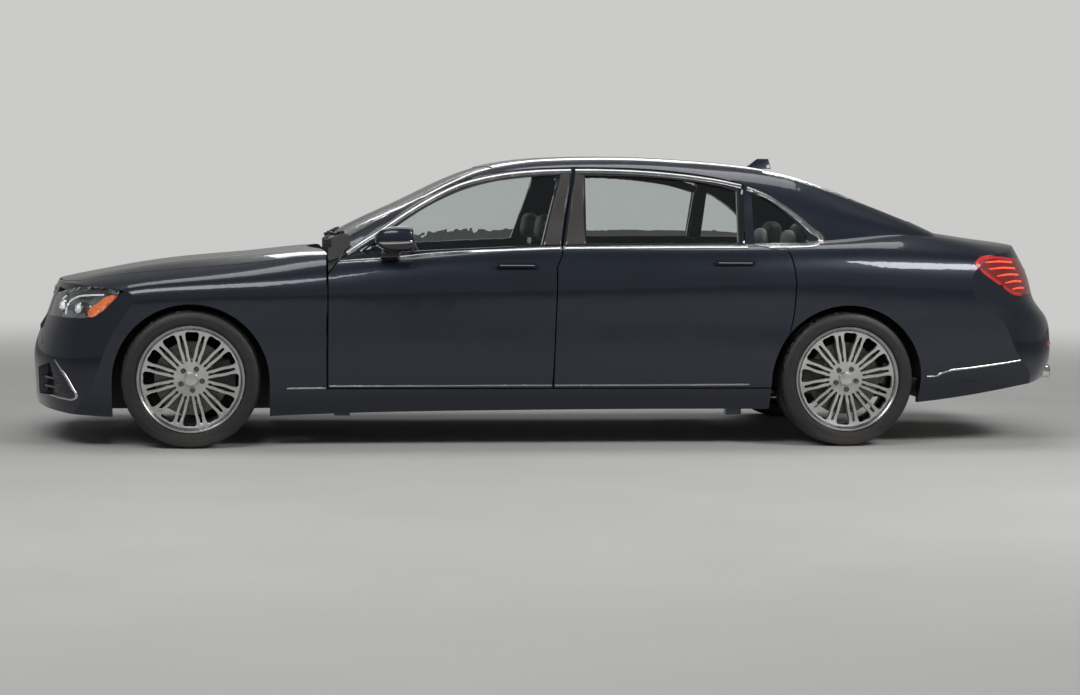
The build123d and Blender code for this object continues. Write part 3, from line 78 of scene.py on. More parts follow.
def fill(tree, made, inputs):
    """Gives a node's inputs, by name or number, a value or another node's output."""
    for key, value in inputs.items():
        socket = made.inputs[int(key) if key.isdigit() else key.replace("_", " ")]
        if isinstance(value, bpy.types.NodeSocket):
            tree.links.new(value, socket)
        else:
            socket.default_value = value


def node(tree, kind, output=0, **settings):
    """An output of a new shader node; settings that start with in_ are inputs, the others are properties."""
    made = tree.nodes.new("ShaderNode" + kind)
    for key, value in settings.items():
        if not key.startswith("in_"):
            setattr(made, key, value)
    fill(tree, made, {key[3:]: value for key, value in settings.items() if key.startswith("in_")})
    return made.outputs[output]


FLOAT, COLOUR = "NodeSocketFloat", "NodeSocketColor"
GREY = (0.5, 0.5, 0.5, 1)


def effect(name, inputs, outputs):
    """An empty node group: its tree, the values that come into it, the node they leave by, and a place."""
    tree = bpy.data.node_groups.new(name, "ShaderNodeTree")
    for label, kind, value in inputs:
        socket = tree.interface.new_socket(label, in_out="INPUT", socket_type=kind)
        socket.default_value = value
    for label, kind in outputs:
        tree.interface.new_socket(label, in_out="OUTPUT", socket_type=kind)
    given, leave = tree.nodes.new("NodeGroupInput").outputs, tree.nodes.new("NodeGroupOutput")
    return tree, given, leave, node(tree, "TexCoord", "Object")


# Grain: a fine pebbled height, as on moulded plastic and hide.
grain, given, leave, place = effect("grain", [("Scale", FLOAT, 900.0), ("Softness", FLOAT, 0.5)], [("Height", FLOAT)])
scale, soft = given["Scale"], given["Softness"]
pebbles = node(
    grain, "TexVoronoi", "Distance", feature="SMOOTH_F1", in_Vector=place, in_Scale=scale, in_Smoothness=soft
)
finer = node(grain, "Math", operation="MULTIPLY", in_0=scale, in_1=2.3)
swirl = node(grain, "TexNoise", in_Detail=3.0, in_Vector=place, in_Scale=finer)
fill(grain, leave, {"Height": node(grain, "Math", operation="ADD", in_0=pebbles, in_1=swirl)})

# Mottle: a colour that drifts a little from place to place.
mottle, given, leave, place = effect(
    "mottle",
    [("Colour", COLOUR, GREY), ("Scale", FLOAT, 6.0), ("Amount", FLOAT, 0.2)],
    [("Colour", COLOUR), ("Mask", FLOAT)],
)
cloud = node(mottle, "TexNoise", in_Detail=5.0, in_Roughness=0.6, in_Vector=place, in_Scale=given["Scale"])
spread = node(mottle, "MapRange", in_1=0.3, in_2=0.7, in_Value=cloud)
darker = node(mottle, "Math", operation="SUBTRACT", in_0=1.0, in_1=given["Amount"])
brighter = node(mottle, "Math", operation="ADD", in_0=1.0, in_1=given["Amount"])
level = node(mottle, "Mix", data_type="FLOAT", in_Factor=spread, in_2=darker, in_3=brighter)
shade = node(mottle, "VectorMath", operation="SCALE", in_0=given["Colour"], in_Scale=level)
fill(mottle, leave, {"Colour": shade, "Mask": spread})

# Road film: fine dust that thickens towards the ground.
film, given, leave, place = effect(
    "road_film",
    [("Colour", COLOUR, GREY), ("Top", FLOAT, 0.45), ("Amount", FLOAT, 0.3)],
    [("Colour", COLOUR), ("Mask", FLOAT)],
)
height = node(film, "SeparateXYZ", "Z", in_0=place)
speck = node(film, "TexNoise", in_Scale=38.0, in_Detail=8.0, in_Roughness=0.7, in_Vector=place)
depth = node(film, "MapRange", in_1=0.0, in_3=1.0, in_4=0.0, in_Value=height, in_From_Max=given["Top"])
broken = node(film, "Math", operation="MULTIPLY", in_0=depth, in_1=speck)
weighed = node(film, "Math", operation="MULTIPLY", use_clamp=True, in_0=broken, in_1=given["Amount"])
dust = (0.19, 0.17, 0.15, 1)
cover = node(film, "Mix", 2, data_type="RGBA", in_Factor=weighed, in_6=given["Colour"], in_7=dust)
fill(film, leave, {"Colour": cover, "Mask": weighed})

# Flakes: tiny plates in metallic paint, each a little lighter than the paint by its own amount.
flakes, given, leave, place = effect("flakes", [("Scale", FLOAT, 2600.0)], [("Mask", FLOAT)])
plates = node(flakes, "TexVoronoi", "Color", in_Vector=place, in_Scale=given["Scale"])
pick = node(flakes, "SeparateColor", in_0=plates)
fill(flakes, leave, {"Mask": node(flakes, "MapRange", in_1=0.55, in_2=1.0, in_Value=pick)})


def shared(tree, group, **values):
    """What comes out of one use of an effect, with its own values."""
    made = tree.nodes.new("ShaderNodeGroup")
    made.node_tree = group
    fill(tree, made, values)
    return made.outputs


def finish_of(
    name, colour, rough, metallic=0.0, drift=(6.0, 0.15), rough_drift=0.06, bumps=None, dust=None, **sockets,
):
    """A procedural finish: drifting colour and roughness, an optional fine bump and an optional road film."""
    material = bpy.data.materials.new(name)
    material.use_nodes = True
    tree = material.node_tree
    tone = shared(tree, mottle, Colour=(*colour, 1), Scale=drift[0], Amount=drift[1])
    low, high = max(rough - rough_drift, 0.0), rough + rough_drift
    last_colour, last_rough = tone["Colour"], node(tree, "MapRange", in_3=low, in_4=high, in_Value=tone["Mask"])
    if dust:
        grime = shared(tree, film, Top=dust[0], Amount=dust[1], Colour=last_colour)
        last_colour = grime["Colour"]
        last_rough = node(tree, "Math", operation="ADD", use_clamp=True, in_0=last_rough, in_1=grime["Mask"])
    sockets |= {"Metallic": metallic, "Base Color": last_colour, "Roughness": last_rough}
    if bumps:
        scale, strength, distance = bumps
        height = shared(tree, grain, Scale=scale)["Height"]
        sockets["Normal"] = node(tree, "Bump", in_Strength=strength, in_Distance=distance, in_Height=height)
    fill(tree, tree.nodes["Principled BSDF"], sockets)
    return material


paint = finish_of(
    "navy_paint", (0.0048, 0.007, 0.0135), 0.34, 0.45, (1.5, 0.08), 0.03, None, (0.26, 0.12),
    Coat_Weight=1.0, Coat_Roughness=0.035, Coat_IOR=1.42, Specular_IOR_Level=0.35,
)
# Flakes lie over the drifting colour of the paint.
tree = paint.node_tree
shader = tree.nodes["Principled BSDF"]
under = shader.inputs["Base Color"].links[0].from_socket
sparkle = shared(tree, flakes)["Mask"]
lit = node(tree, "Mix", 2, data_type="RGBA", in_Factor=sparkle, in_6=under, in_7=(0.03, 0.042, 0.07, 1))
fill(tree, shader, {"Base Color": lit})

gloss_black = finish_of("gloss_black", (0.012, 0.012, 0.013), 0.12, 0.0, (3, 0.2), 0.03, Coat_Weight=0.6)
pillar_gloss = finish_of("pillar_gloss", (0.055, 0.053, 0.05), 0.2, 0.0, (3, 0.2), 0.03, Coat_Weight=0.8)
black_plastic = finish_of(
    "black_plastic", (0.016, 0.016, 0.017), 0.55, 0.0, (9, 0.2), 0.08, (1400, 0.25, 0.0004), (0.3, 0.5),
)
rubber_seal = finish_of("rubber_seal", (0.012, 0.012, 0.012), 0.75, 0.0, (20, 0.25), 0.1, (2200, 0.3, 0.0003))
chrome = finish_of("chrome", (0.62, 0.62, 0.61), 0.12, 1.0, (14, 0.05), 0.04)
satin_chrome = finish_of("satin_chrome", (0.5, 0.5, 0.49), 0.24, 1.0, (18, 0.06), 0.05)
alloy = finish_of(
    "wheel_alloy", (0.6, 0.6, 0.585), 0.3, 0.85, (12, 0.06), 0.06, (3000, 0.05, 0.0002), (0.2, 0.25), Coat_Weight=0.5,
    Coat_Roughness=0.12,
)
tyre_rubber = finish_of(
    "tyre_rubber", (0.0135, 0.0135, 0.014), 0.5, 0.0, (30, 0.25), 0.1, (1100, 0.25, 0.0006), (0.1, 0.5),
)
disc_iron = finish_of("brake_disc", (0.13, 0.127, 0.122), 0.36, 1.0, (40, 0.2), 0.1, (1800, 0.2, 0.0003))
cast_iron = finish_of("chassis_iron", (0.05, 0.05, 0.05), 0.6, 0.5, (12, 0.3), 0.12, (500, 0.4, 0.001), (0.4, 0.7))
engine_alloy = finish_of(
    "engine_casting", (0.23, 0.23, 0.22), 0.5, 0.9, (16, 0.2), 0.1, (420, 0.5, 0.001), (0.5, 0.6),
)
exhaust_steel = finish_of(
    "exhaust_steel", (0.36, 0.33, 0.29), 0.33, 1.0, (9, 0.3), 0.12, (700, 0.15, 0.0005), (0.3, 0.4),
)
under_coat = finish_of(
    "underbody_coat", (0.018, 0.018, 0.019), 0.7, 0.0, (8, 0.3), 0.1, (600, 0.5, 0.001), (0.4, 0.8),
)
cabin_trim = finish_of("cabin_trim", (0.018, 0.017, 0.017), 0.55, 0.0, (10, 0.2), 0.08, (1500, 0.3, 0.0004))
hide = finish_of("dark_hide", (0.022, 0.02, 0.019), 0.46, 0.0, (9, 0.25), 0.08, (650, 0.5, 0.0006), Sheen_Weight=0.15)
pale_hide = finish_of("pale_hide", (0.42, 0.41, 0.4), 0.5, 0.0, (9, 0.12), 0.08, (650, 0.5, 0.0006), Sheen_Weight=0.2)
lamp_housing = finish_of("lamp_housing", (0.2, 0.2, 0.2), 0.28, 0.8, (25, 0.3), 0.1)
lamp_dark = finish_of("lamp_dark", (0.02, 0.02, 0.022), 0.3, 0.2, (25, 0.3), 0.1)
amber = finish_of(
    "amber_marker", (0.8, 0.16, 0.02), 0.25, 0.0, (70, 0.15), 0.08, (260, 0.6, 0.002), Coat_Weight=0.6,
    Emission_Color=(0.9, 0.16, 0.015, 1), Emission_Strength=0.25,
)
red_lamp = finish_of(
    "red_lamp", (0.5, 0.012, 0.01), 0.2, 0.0, (60, 0.25), 0.06, (300, 0.4, 0.002), Coat_Weight=1.0,
    Emission_Color=(0.6, 0.01, 0.008, 1), Emission_Strength=0.12,
)
red_deep = finish_of("red_deep", (0.2, 0.006, 0.006), 0.18, 0.0, (60, 0.3), 0.06, (300, 0.4, 0.002), Coat_Weight=1.0)
red_bright = finish_of(
    "red_bright", (0.85, 0.1, 0.05), 0.3, 0.0, (80, 0.3), 0.06, Coat_Weight=0.6, Emission_Color=(1.0, 0.09, 0.04, 1),
    Emission_Strength=0.55,
)
white_lamp = finish_of(
    "white_lamp", (0.85, 0.86, 0.88), 0.2, 0.0, (60, 0.1), 0.05, Emission_Color=(0.9, 0.95, 1.0, 1),
    Emission_Strength=0.25,
)
plate_blank = finish_of("blank_plate", (0.55, 0.55, 0.53), 0.4, 0.0, (9, 0.08), 0.06, (1500, 0.1, 0.0003))
window_glass = finish_of(
    "window_glass", (0.8, 0.84, 0.83), 0.0, 0.0, (2, 0.02), 0.0, Transmission_Weight=1.0, IOR=1.45,
)
lens_clear = finish_of("lamp_lens", (0.93, 0.95, 0.96), 0.0, 0.0, (2, 0.02), 0.0, Transmission_Weight=1.0, IOR=1.45)

CARRIED_OVER = {
    paint: ["body_side_left", "body_side_right", "roof_panel", "fender_left", "fender_right", "front_bumper"]
    + ["rear_bumper", "hood", "trunk_lid", "door_front_left", "door_front_right", "door_rear_left", "door_rear_right"]
    + ["mirror_left", "mirror_right"],
    under_coat: ["front_structure", "floor_pan", "rear_structure"],
    window_glass: ["windscreen", "rear_windows", "glass_front_left", "glass_front_right", "glass_rear_left"]
    + ["glass_rear_right"],
    cabin_trim: ["dashboard"],
    hide: ["steering_wheel", "front_seats", "rear_seats"],
    engine_alloy: ["engine_block"],
    cast_iron: ["front_subframe", "rear_axle", "knuckle_front_left", "knuckle_front_right"],
    exhaust_steel: ["exhaust"],
    lamp_housing: ["headlamps"],
    red_deep: ["tail_lamps"],
    gloss_black: ["grille"],
}
for material, names in CARRIED_OVER.items():
    for name in names:
        nodes[name].data.materials.clear()
        nodes[name].data.materials.append(material)

# ---------------------------------------------------------------- tools


def choose(*pieces):
    """Only these pieces are selected, and the first is active."""
    bpy.ops.object.select_all(action="DESELECT")
    for piece in pieces:
        piece.select_set(True)
    bpy.context.view_layer.objects.active = pieces[0]


def edit():
    bpy.ops.object.mode_set(mode="EDIT")


def done():
    bpy.ops.object.mode_set(mode="OBJECT")


def fresh():
    """Nothing is selected, so a new primitive is shaped alone."""
    bpy.ops.object.select_all(action="DESELECT")


def take(everything=True):
    """In edit mode: selects everything, or nothing."""
    bpy.ops.mesh.select_all(action="SELECT" if everything else "DESELECT")


def weld(gap):
    """In edit mode: joins the points that lie closer than the gap."""
    take()
    bpy.ops.mesh.remove_doubles(threshold=gap)


def face_out(inside=False):
    """In edit mode: turns every face outwards, or inwards."""
    take()
    bpy.ops.mesh.normals_make_consistent(inside=inside)


def pick_faces(piece, wanted):
    """Goes into edit mode with the faces selected that a rule wants."""
    edit()
    take(False)
    done()
    for face in piece.data.polygons:
        face.select = wanted(face)
    edit()


def as_mesh(curve):
    """A drawn curve made into a mesh."""
    choose(curve)
    bpy.ops.object.convert(target="MESH")
    return bpy.context.object


def lean(piece, rate, foot_z):
    """Pushes a piece rearwards in step with its height over foot_z."""
    for vertex in piece.data.vertices:
        vertex.co.x += rate * (vertex.co.z - foot_z)


def modify(piece, kind, **settings):
    """Adds a modifier and applies it."""
    choose(piece)
    made = piece.modifiers.new(kind.title(), kind)
    for key, value in settings.items():
        setattr(made, key, value)
    bpy.ops.object.modifier_apply(modifier=made.name)


def settle(piece, name, material, body="body", angle=40, flip=False):
    """Finishes a piece: place in its mesh, normals outwards, smooth, named, coloured and riding on its body."""
    choose(piece)
    bpy.ops.object.transform_apply(location=True, rotation=True, scale=True)
    edit()
    weld(0.00002)
    face_out(flip)
    done()
    bpy.ops.object.shade_smooth_by_angle(angle=radians(angle))
    piece.name = piece.data.name = name
    piece.data.materials.clear()
    piece.data.materials.append(material)
    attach(piece, body)
    return piece


def again(piece, name, body, change):
    """A copy with its own mesh, changed by a matrix, such as a mirror image on the car's other side."""
    made = piece.copy()
    made.data = piece.data.copy()
    bpy.context.collection.objects.link(made)
    made.parent = None
    made.data.transform(change)
    if change.determinant() < 0:
        made.data.flip_normals()
    made.name = made.data.name = name
    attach(made, body)
    return made


OTHER_SIDE = Matrix.Scale(-1, 4, (0, 1, 0))


def both(piece):
    """The right-hand copy of a finished left piece."""
    name, body = (word.replace("left", "right") for word in (piece.name, piece["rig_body"]))
    return again(piece, name, body, OTHER_SIDE)


def both_sides(pieces):
    for piece in pieces:
        both(piece)


WELD = 0.00001


def run_of(points):
    """A run of edges, extruded from one vertex to the next."""
    fresh()
    bpy.ops.mesh.primitive_plane_add(size=0.01, location=(0, 0, 0))
    edit()
    bpy.ops.mesh.merge(type="CENTER")
    bpy.ops.transform.translate(value=points[0])
    for a, b in zip(points, points[1:]):
        bpy.ops.mesh.extrude_region_move(TRANSFORM_OT_translate={"value": Vector(b) - Vector(a)})
    done()
    return bpy.context.object


def turned(profile, steps=96, closed=False):
    """A profile of (along the Y axis, radius) spun round that axis."""
    points = [(0, out, r) for out, r in profile]
    piece = run_of(points + points[:1] if closed else points)
    choose(piece)
    edit()
    weld(WELD)
    take()
    bpy.ops.mesh.spin(steps=steps, angle=2 * pi, center=(0, 0, 0), axis=(0, 1, 0))
    weld(WELD)
    face_out()
    done()
    return piece


def skin_of(*names):
    """The surface of some CAD nodes, to lay pieces on."""
    corners, faces = [], []
    for name in names:
        mesh = nodes[name].data
        start = len(corners)
        corners += [v.co.copy() for v in mesh.vertices]
        faces += [[start + i for i in face.vertices] for face in mesh.polygons]
    return BVHTree.FromPolygons(corners, faces)


def lay(piece, skin, axis, sign):
    """Moves each point of a flat piece along one axis, as far as the skin stands out there."""
    last = None
    for vertex in piece.data.vertices:
        start = vertex.co.copy()
        start[axis] = sign * 4
        towards = Vector((0, 0, 0))
        towards[axis] = -sign
        hit = skin.ray_cast(start, towards)[0]
        if hit is None:
            near = vertex.co.copy()
            near[axis] = last if last is not None else sign
            hit = skin.find_nearest(near)[0]
        last = hit[axis]
        vertex.co[axis] += last


def in_plane(axis, a, b):
    """A point of a drawing that looks along one axis."""
    return [(0, a, b), (a, 0, b), (a, b, 0)][axis]


def smooth_path(points, axis, closed=False, fine=8, radii=None):
    """A curve through points of a drawing; a third value of 1 marks a sharp corner."""
    curve = bpy.data.curves.new("path", "CURVE")
    curve.dimensions = "3D"
    curve.resolution_u = fine
    spline = curve.splines.new("BEZIER")
    spline.bezier_points.add(len(points) - 1)
    for i, (made, point) in enumerate(zip(spline.bezier_points, points)):
        made.co = in_plane(axis, point[0], point[1])
        sharp = len(point) > 2
        made.handle_left_type = made.handle_right_type = "VECTOR" if sharp else "AUTO"
        if radii:
            made.radius = radii[i]
    spline.use_cyclic_u = closed
    piece = bpy.data.objects.new("path", curve)
    bpy.context.collection.objects.link(piece)
    return piece


def strip(name, points, wide, thick, where, material, axis=1, sign=-1, closed=False, radii=None, lift=0.0):
    """A trim strip with a rounded section that follows a drawn line over a skin; `where` is skin and body."""
    skin, body = where
    piece = smooth_path(points, axis, closed, radii=radii)
    piece.data.bevel_depth = wide / 2
    piece.data.bevel_resolution = 3
    piece.data.use_fill_caps = True
    piece = as_mesh(piece)
    for vertex in piece.data.vertices:
        vertex.co[axis] = vertex.co[axis] * 2 * thick / wide + sign * lift
    lay(piece, skin, axis, sign)
    return settle(piece, name, material, body, 50)


def sheet_of(outline, axis, sign, cell, smooth=True):
    """A flat face cut into a grid of cells, its edge drawn through the outline's points."""
    points = outline if smooth else [(*point[:2], 1) for point in outline]
    piece = as_mesh(smooth_path(points, axis, True, 6 if smooth else 1))
    edit()
    weld(0.0002)
    bpy.ops.mesh.edge_face_add()
    for k, direction in enumerate(i for i in range(3) if i != axis):
        low, high = (limit(point[k] for point in outline) for limit in (min, max))
        count = int((high - low) / cell)
        for i in range(1, count + 1):
            spot, normal = [0, 0, 0], [0, 0, 0]
            spot[direction] = low + i * (high - low) / (count + 1)
            normal[direction] = 1
            take()
            bpy.ops.mesh.bisect(plane_co=spot, plane_no=normal)
    done()
    facing = sum(face.normal[axis] * face.area for face in piece.data.polygons)
    if facing * sign < 0:
        piece.data.flip_normals()
    return piece


def panel(
    name, outline, where, material, rise=0.001, thick=0.003, cell=0.03, axis=1, sign=-1, smooth=True, edge=0.0008
):
    """A thin panel or lens laid on a skin, standing proud by `rise`, with softened edges."""
    skin, body = where
    piece = sheet_of(outline, axis, sign, cell, smooth)
    lay(piece, skin, axis, sign)
    for vertex in piece.data.vertices:
        vertex.co[axis] += sign * rise
    modify(piece, "SOLIDIFY", thickness=thick, offset=-1)
    if edge:
        modify(piece, "BEVEL", width=edge, segments=2, limit_method="ANGLE", angle_limit=radians(50))
    return settle(piece, name, material, body)


def joined(pieces):
    """Several pieces made one."""
    choose(*pieces)
    bpy.ops.object.join()
    return bpy.context.object


def block(low, high, taper=(1, 1), soft=0.004, segments=3):
    """A block between two corners whose top is drawn in and whose edges are rounded."""
    fresh()
    low, high = Vector(low), Vector(high)
    centre = (low + high) / 2
    bpy.ops.mesh.primitive_cube_add(size=1, location=centre)
    piece = bpy.context.object
    piece.scale = high - low
    bpy.ops.object.transform_apply(location=True, rotation=False, scale=True)
    for vertex in piece.data.vertices:
        if vertex.co.z > centre.z:
            for i in range(2):
                vertex.co[i] = centre[i] + (vertex.co[i] - centre[i]) * taper[i]
    modify(piece, "BEVEL", width=soft, segments=segments)
    return piece


# ---------------------------------------------------------------- floor, light and camera
backdrop = (0.6, 0.595, 0.585, 1)
fade_from, fade_to = 3.6, 12.0
fresh()
bpy.ops.mesh.primitive_circle_add(vertices=96, radius=60, fill_type="NGON", location=(0, 0, 0))
floor = bpy.context.object
floor.name = "studio_floor"
floor_finish = bpy.data.materials.new("studio_floor")
floor_finish.use_nodes = True
tree = floor_finish.node_tree
shader = tree.nodes["Principled BSDF"]
place = node(tree, "TexCoord", "Object")
away = node(tree, "VectorMath", "Value", operation="LENGTH", in_0=place)
fade = node(tree, "MapRange", interpolation_type="SMOOTHSTEP", in_1=fade_from, in_2=fade_to, in_Value=away)
seen = node(tree, "Math", operation="MULTIPLY", in_0=fade, in_1=node(tree, "LightPath", "Is Camera Ray"))
cloud = node(tree, "TexNoise", in_Scale=1.3, in_Detail=6.0, in_Vector=place)
dark_spot, pale_spot = (0.46, 0.455, 0.445, 1), (0.53, 0.525, 0.515, 1)
tone = node(tree, "Mix", 2, data_type="RGBA", in_Factor=cloud, in_6=dark_spot, in_7=pale_spot)
fill(tree, shader, {"Roughness": 0.75, "Specular IOR Level": 0.2, "Base Color": tone})
haze = node(tree, "Emission", in_Color=backdrop)
blend = node(tree, "MixShader", in_0=seen, in_1=shader.outputs[0], in_2=haze)
fill(tree, tree.nodes["Material Output"], {"Surface": blend})
floor.data.materials.append(floor_finish)

world = bpy.data.worlds.new("studio")
bpy.context.scene.world = world
world.use_nodes = True
tree = world.node_tree
height = node(tree, "SeparateXYZ", "Z", in_0=node(tree, "TexCoord", "Generated"))
rise = node(tree, "MapRange", interpolation_type="SMOOTHSTEP", in_1=0.05, in_2=0.7, in_Value=height)
band = node(tree, "Mix", 2, data_type="RGBA", in_Factor=rise, in_6=backdrop, in_7=(0.3, 0.305, 0.32, 1))
seen, through = (node(tree, "LightPath", f"Is {kind} Ray") for kind in ("Camera", "Transmission"))
shown = node(tree, "Math", operation="MAXIMUM", in_0=seen, in_1=through)
strength = node(tree, "MapRange", in_3=0.42, in_4=1.0, in_Value=shown)
fill(tree, tree.nodes["Background"], {"Color": band, "Strength": strength})


def softbox(name, place, aim, size, power):
    """A large soft lamp that points at a place."""
    light = bpy.data.lights.new(name, "AREA")
    light.shape = "RECTANGLE"
    light.size, light.size_y = size
    light.energy = power
    lamp = bpy.data.objects.new(name, light)
    bpy.context.collection.objects.link(lamp)
    lamp.location = place
    lamp.rotation_euler = (Vector(aim) - Vector(place)).to_track_quat("-Z", "Y").to_euler()


softbox("key", (-3.6, -5.5, 5.2), (-0.6, 0, 0.4), (5.0, 2.2), 250)
softbox("tail", (4.2, -4.6, 4.0), (1.9, -0.9, 0.8), (2.4, 1.6), 190)
softbox("top", (0.0, 0.6, 6.0), (0.0, 0, 0.6), (7.0, 2.2), 150)
softbox("far", (1.0, 6.5, 4.2), (0, 0, 0.6), (6.0, 2.0), 110)

camera_data = bpy.data.cameras.new("camera")
camera_data.lens, camera_data.sensor_width = 79.2, 36
pan, tilt, roll = (radians(angle) for angle in (-6.33, 90 - 3.77, 0.45))
eye = (front_x + 0.43, -12.93, 1.309)
camera = bpy.data.objects.new("camera", camera_data)
bpy.context.collection.objects.link(camera)
bpy.context.scene.camera = camera
turn = Matrix.Rotation(pan, 4, "Z") @ Matrix.Rotation(tilt, 4, "X") @ Matrix.Rotation(roll, 4, "Z")
camera.matrix_world = Matrix.Translation(eye) @ turn
bpy.context.scene.view_settings.view_transform = "Standard"

# ---------------------------------------------------------------- wheels
# Each wheel is modelled round the Y axis with the middle of its tyre at the origin and its face towards -Y.
lip_radius, bead_radius, barrel_radius = 0.272, 0.254, 0.242
spoke_pairs = 12
pitch = 2 * pi / spoke_pairs
BETWEEN_PAIRS = [(0.084, 0), (0.106, 0.008), (0.166, 0.021), (0.216, 0.0335), (0.2345, 0.031), (0.238, 0)]
BETWEEN_PAIRS += [(x, -y) for x, y in BETWEEN_PAIRS[4:0:-1]]
WITHIN_PAIR = [(0.088, 0), (0.12, 0.0046), (0.166, 0.0092), (0.202, 0.0075), (0.228, 0)]
WITHIN_PAIR += [(x, -y) for x, y in WITHIN_PAIR[3:0:-1]]


def about_axle(angle):
    return Matrix.Rotation(angle, 4, "Y")


def slot_cutters(outline, start):
    """Twelve upright bars with this outline, to cut the openings with."""
    bars = []
    for i in range(spoke_pairs):
        bar = as_mesh(smooth_path(outline, 1, True, 5))
        edit()
        weld(0.00005)
        bpy.ops.mesh.edge_face_add()
        bpy.ops.transform.translate(value=(0, -0.16, 0))
        bpy.ops.mesh.extrude_region_move(TRANSFORM_OT_translate={"value": (0, 0.2, 0)})
        face_out()
        done()
        bar.data.transform(about_axle(start + i * pitch))
        bars.append(bar)
    return joined(bars)


def cut(piece, cutter):
    """Takes the cutter's shape out of a piece."""
    modify(piece, "BOOLEAN", object=cutter, operation="DIFFERENCE", solver="EXACT")
    bpy.data.objects.remove(cutter)


def wheel_face(width, start):
    """The cast face: twin spokes in twelve pairs that meet in wedges at the rim."""
    face = width / 2 - 0.034
    front = [(0, 0.026), (-0.06, 0.026), (0.021 - face, 0.036), (0.018 - face, 0.08), (0.013 - face, 0.12)]
    front += [(0.006 - face, 0.18), (-face, 0.226), (-face - 0.005, 0.2485)]
    back = [(0.022 - face, 0.2485), (0.03 - face, 0.226), (0.042 - face, 0.15), (0.052 - face, 0.08), (0, 0.08)]
    piece = turned(front + back, 144, closed=True)
    cut(piece, slot_cutters(BETWEEN_PAIRS, start + pitch / 2))
    cut(piece, slot_cutters(WITHIN_PAIR, start))
    modify(piece, "BEVEL", width=0.003, segments=3, limit_method="ANGLE", angle_limit=radians(48))
    return piece


def wheel_barrel(width):
    """The rim behind the face, with its outer lip."""
    w = width / 2 - 0.014
    lip = [(0.002 - w, lip_radius), (-w, lip_radius - 0.003), (-w, lip_radius - 0.01), (0.003 - w, 0.2575)]
    lip += [(0.012 - w, 0.2515), (0.03 - w, 0.2475), (0.06 - w, 0.2455)]
    inner = [
        (0, barrel_radius), (w - 0.03, barrel_radius), (w - 0.006, barrel_radius + 0.008), (w, lip_radius - 0.004),
    ]
    outer = [(w - 0.004, lip_radius), (w - 0.01, lip_radius), (w - 0.012, bead_radius), (0.02, bead_radius - 0.006)]
    outer += [(0.012 - w, bead_radius), (0.01 - w, lip_radius)]
    return turned(lip + inner + outer, 144, closed=True)


def drum(sides, radius, depth):
    """A short bar along the Y axis."""
    fresh()
    bpy.ops.mesh.primitive_cylinder_add(vertices=sides, radius=radius, depth=depth, rotation=(pi / 2, 0, 0))
    bpy.ops.object.transform_apply(location=True, rotation=True, scale=True)
    return bpy.context.object


def wheel_cap(width, start):
    """The plain domed cap and five bolts sunk in their seats."""
    face = width / 2 - 0.034
    dome = [
        (0.028 - face, 0.036), (0.012 - face, 0.0355), (0.008 - face, 0.033), (0.005 - face, 0.022),
        (0.004 - face, 0.0),
    ]
    cap = turned(dome, 64)
    bolts = []
    for i in range(5):
        bolt = drum(6, 0.0095, 0.014)
        pick_faces(bolt, lambda side: side.normal.y < -0.9)
        bpy.ops.mesh.inset(thickness=0.003, depth=0)
        bpy.ops.mesh.extrude_region_move(TRANSFORM_OT_translate={"value": (0, 0.005, 0)})
        done()
        modify(bolt, "BEVEL", width=0.0012, segments=2)
        washer = turned(
            [(0.002, 0.0135), (-0.002, 0.0135), (-0.003, 0.0125), (-0.003, 0.008), (0.002, 0.008)], 32, closed=True,
        )
        one = joined([bolt, washer])
        one.data.transform(Matrix.Translation((0.056, -face + 0.0165, 0)))
        one.data.transform(about_axle(start + i * 2 * pi / 5))
        bolts.append(one)
    return cap, joined(bolts)


def brake_parts(width, caliper_angle):
    """A vented disc on its bell, dark drums standing on its face as painted shade for the drilled holes, and a
    caliper over its edge.
    """
    face = width / 2 - 0.034
    out = -(face - 0.072)
    disc = turned(
        [(out, 0.186), (out, 0.105), (out - 0.012, 0.1), (out - 0.02, 0.075), (out - 0.02, 0.04), (out + 0.03, 0.04)]
        + [
            (out + 0.03, 0.184), (out + 0.022, 0.189), (out + 0.021, 0.178), (out + 0.011, 0.178),
            (out + 0.01, 0.189),
        ],
        96,
        closed=True,
    )
    # Dark drums on the disc face where the drilled holes are: painted shade, since the disc is not cut through.
    hole_shade = []
    for i in range(36):
        for k in range(2):
            hole = drum(8, 0.0038, 0.004)
            hole.data.transform(Matrix.Translation((0.124 + 0.036 * k + 0.006 * (i % 3), out - 0.0006, 0)))
            hole.data.transform(about_axle(i * pi / 18 + k * pi / 36))
            hole_shade.append(hole)
    caliper = block((0.118, out - 0.019, -0.085), (0.212, out + 0.05, 0.085), (0.9, 0.95), 0.01, 3)
    for vertex in caliper.data.vertices:
        vertex.co.x -= 0.9 * vertex.co.z**2
    bridge = block((0.15, out - 0.0205, -0.03), (0.2, out - 0.015, 0.03), (1, 1), 0.003, 2)
    caliper = joined([caliper, bridge])
    caliper.data.transform(about_axle(caliper_angle))
    return disc, joined(hole_shade), caliper


